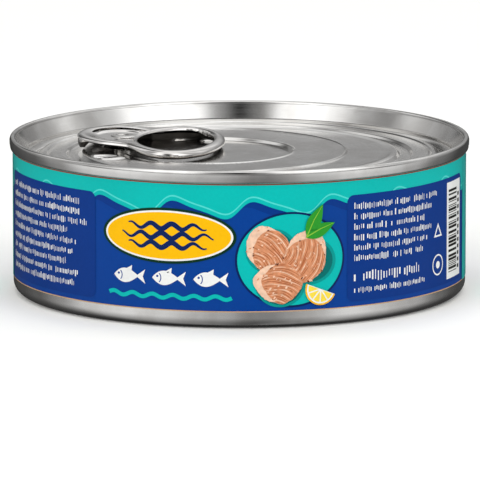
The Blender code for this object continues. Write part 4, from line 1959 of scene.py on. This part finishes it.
    def small_print(self) -> None:
        """Sets the rows of plain blocks on the dark panels."""
        white = self.material(Ink.WHITE)
        for page in PAGES:
            for repeat in range(self.repeats):
                title = f"small_print_{page.name}_{repeat + 1}"
                values = {
                    "Columns": page.columns,
                    "Rows": page.rows,
                    "Column Pitch": page.pitch * MM,
                    "Row Pitch": page.row_pitch * MM,
                    "Block Height": page.height * MM,
                    "Gap Share": page.gap_share,
                    "Ragged": page.ragged,
                    "Seed": page.seed,
                    "Material": white,
                }
                block = self.page.grow(title, mesh_from(title, [], []), values)
                start = ((page.along + repeat * self.period) * MM, page.up * MM, 0.0)
                block.data.transform(Matrix.Translation(start))
                self.settle(title, block, Ink.WHITE, Layer.DETAIL)

    def settle(self, name: str, flat: bpy.types.Object, ink: Ink, level: int) -> None:
        """Wraps a flat piece of print on the wall and lets it ride on the can.

        Args:
            name: The piece's name.
            flat: The flat piece.
            ink: Its ink.
            level: Its level above the metal.
        """
        sheet = flat.data
        bpy.data.objects.remove(flat)
        lift = level * self.level_step * MM
        values = {"Radius": self.radius * MM, "Lift": lift, "Material": self.material(ink)}
        piece = self.wrap.grow(name, sheet, values)
        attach(piece, ROOT)

    def build(self) -> None:
        """Lays every plate and wraps it on the wall."""
        self.fields()
        self.panels()
        self.badge()
        self.dish()
        for plate in self.plates.values():
            flat = link_object(plate.name + "_flat", plate.flat_mesh(self.cut_pitch))
            self.settle(plate.name, flat, plate.ink, plate.level)
        self.small_print()
        LOG.info("print: %d plates", len(self.plates))


@dataclass
class FishChunk:
    """A chunk of cooked fish in the print: pale sides, the cut face and the flakes' nested arcs.

    It is drawn about its own middle, about 8 mm across at a scale of 1, then turned and moved. All its
    random draws come from its own seed, in one order.
    """

    sheet: Print
    place: Point
    scale: float
    turn: float
    seed: int
    level: int
    corners: tuple[Point, ...] = (
        (-3.3, -3.6), (-0.3, -4.4), (3.2, -3.9), (4.2, -0.6),
        (3.2, 2.2), (0.4, 3.5), (-2.2, 2.7), (-3.7, 0.2),
    )
    arcs: int = 32
    first_arc: float = 1.6
    arc_pitch: float = 0.35
    arc_steps: range = range(-12, 58)
    arc_step: float = 2.0
    arc_jitter: float = 0.06
    arc_waver: float = 0.02
    arc_stretch: float = 1.1
    break_chance: float = 0.06
    fewest_points: int = 4
    end_width: float = 0.04
    peak_width: Point = (0.08, 0.2)
    flecks: int = 34
    pits: int = 9
    dice: random.Random = field(init=False)

    def __post_init__(self) -> None:
        """Seeds the chunk's dice."""
        self.dice = random.Random(self.seed)

    def rough(self, points: Outline, reach: float) -> Outline:
        """Moves every point of an outline a little at random."""
        roll = self.dice.uniform
        return [(x + roll(-reach, reach), y + roll(-reach, reach)) for x, y in points]

    def lay(self, kind: str, ink: Ink, over: int, shape: Outline) -> None:
        """Adds a shape to one of the chunk's own plates.

        Args:
            kind: What the shape is.
            ink: Its ink.
            over: Its level above the chunk's lowest ink.
            shape: Its outline, about the chunk's middle.
        """
        spread = moved(shape, *self.place, self.turn, self.scale)
        self.sheet.ink(f"flesh_{kind}_{self.level}", ink, self.level + over, spread)

    def shade(self, reach: float) -> Outline:
        """The outline of the shade that the chunk throws on the disc."""
        (along, up), wide, flat = self.place, reach * self.scale, reach * 0.88 * self.scale
        return oval((along + 0.2, up - 0.7), (wide, flat), 40)

    def flakes(self, face: Outline) -> None:
        """Draws the flakes' edges as broken arcs round a place outside the chunk.

        Args:
            face: The cut face's outline.
        """
        dice = self.dice
        pivot = (dice.uniform(-6.0, -4.5), dice.uniform(-6.0, -4.0))
        for k in range(self.arcs):
            reach = self.first_arc + self.arc_pitch * k + dice.uniform(-self.arc_jitter, self.arc_jitter)
            run: Outline = []
            for step in self.arc_steps:
                angle = math.radians(self.arc_step * step)
                wave = 1.0 + self.arc_waver * math.sin(7.0 * angle + 0.5 * k)
                across = reach * wave * math.cos(angle)
                up = self.arc_stretch * reach * wave * math.sin(angle)
                spot = (pivot[0] + across, pivot[1] + up)
                if inside(spot, face) and dice.random() > self.break_chance:
                    run.append(spot)
                    continue
                if len(run) >= self.fewest_points:
                    peak = dice.uniform(*self.peak_width)
                    line = stroke(run, lambda t, peak=peak: self.end_width + peak * math.sin(math.pi * t))
                    kind, ink = ("pale", Ink.SALMON_LIGHT) if k % 3 == 1 else ("dark", Ink.SALMON_DARK)
                    self.lay(kind, ink, 2, line)
                run = []

    def crumbs(self, face: Outline, back: Outline) -> None:
        """Scatters flecks over the chunk and small pits along its cut edge.

        Args:
            face: The cut face's outline.
            back: The outline of the chunk's far end.
        """
        dice = self.dice
        for _ in range(self.flecks):
            spot = (dice.uniform(-5.0, 4.0), dice.uniform(-4.2, 5.0))
            on_face = inside(spot, face)
            if on_face or inside(spot, back):
                fleck = self.rough(oval(spot, (dice.uniform(0.1, 0.32), dice.uniform(0.07, 0.2)), 9), 0.04)
                kind, ink = ("fleck", Ink.SALMON_LIGHT) if on_face else ("spot", Ink.SALMON)
                self.lay(kind, ink, 3, fleck)
        for _ in range(self.pits):
            corner = face[dice.randrange(len(face))]
            pit = self.rough(oval(corner, (dice.uniform(0.08, 0.3), dice.uniform(0.07, 0.16)), 8), 0.04)
            self.lay("pit", Ink.SALMON_DEEP, 3, pit)

    def build(self) -> None:
        """Lays the chunk's sides, its face, the flakes and the crumbs."""
        face = self.rough(rounded(self.rough(list(self.corners), 0.5)), 0.08)
        back = [(0.9 * x - 1.3, 0.9 * y + 1.5) for x, y in face]
        self.lay("side", Ink.SALMON_LIGHT, 0, self.rough(rounded(hull(face + back), 1), 0.06))
        self.lay("face", Ink.SALMON, 1, face)
        self.flakes(face)
        self.crumbs(face, back)


def main() -> None:
    """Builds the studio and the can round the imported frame, and keeps both boxes."""
    logging.basicConfig(level=logging.INFO, format="%(name)s: %(message)s")
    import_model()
    Studio().build()
    lathe = lathe_tree()
    wall_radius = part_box("can_body")[1].x / MM
    lid_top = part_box("lid")[1]
    Cup(lathe, wall_radius=wall_radius).build()
    Lid(lathe, seam_radius=lid_top.x / MM, height=lid_top.z / MM).build()
    PullTab().build()
    Print(wrap_tree(), small_print_tree(), radius=wall_radius).build()


if __name__ == "__main__":
    main()
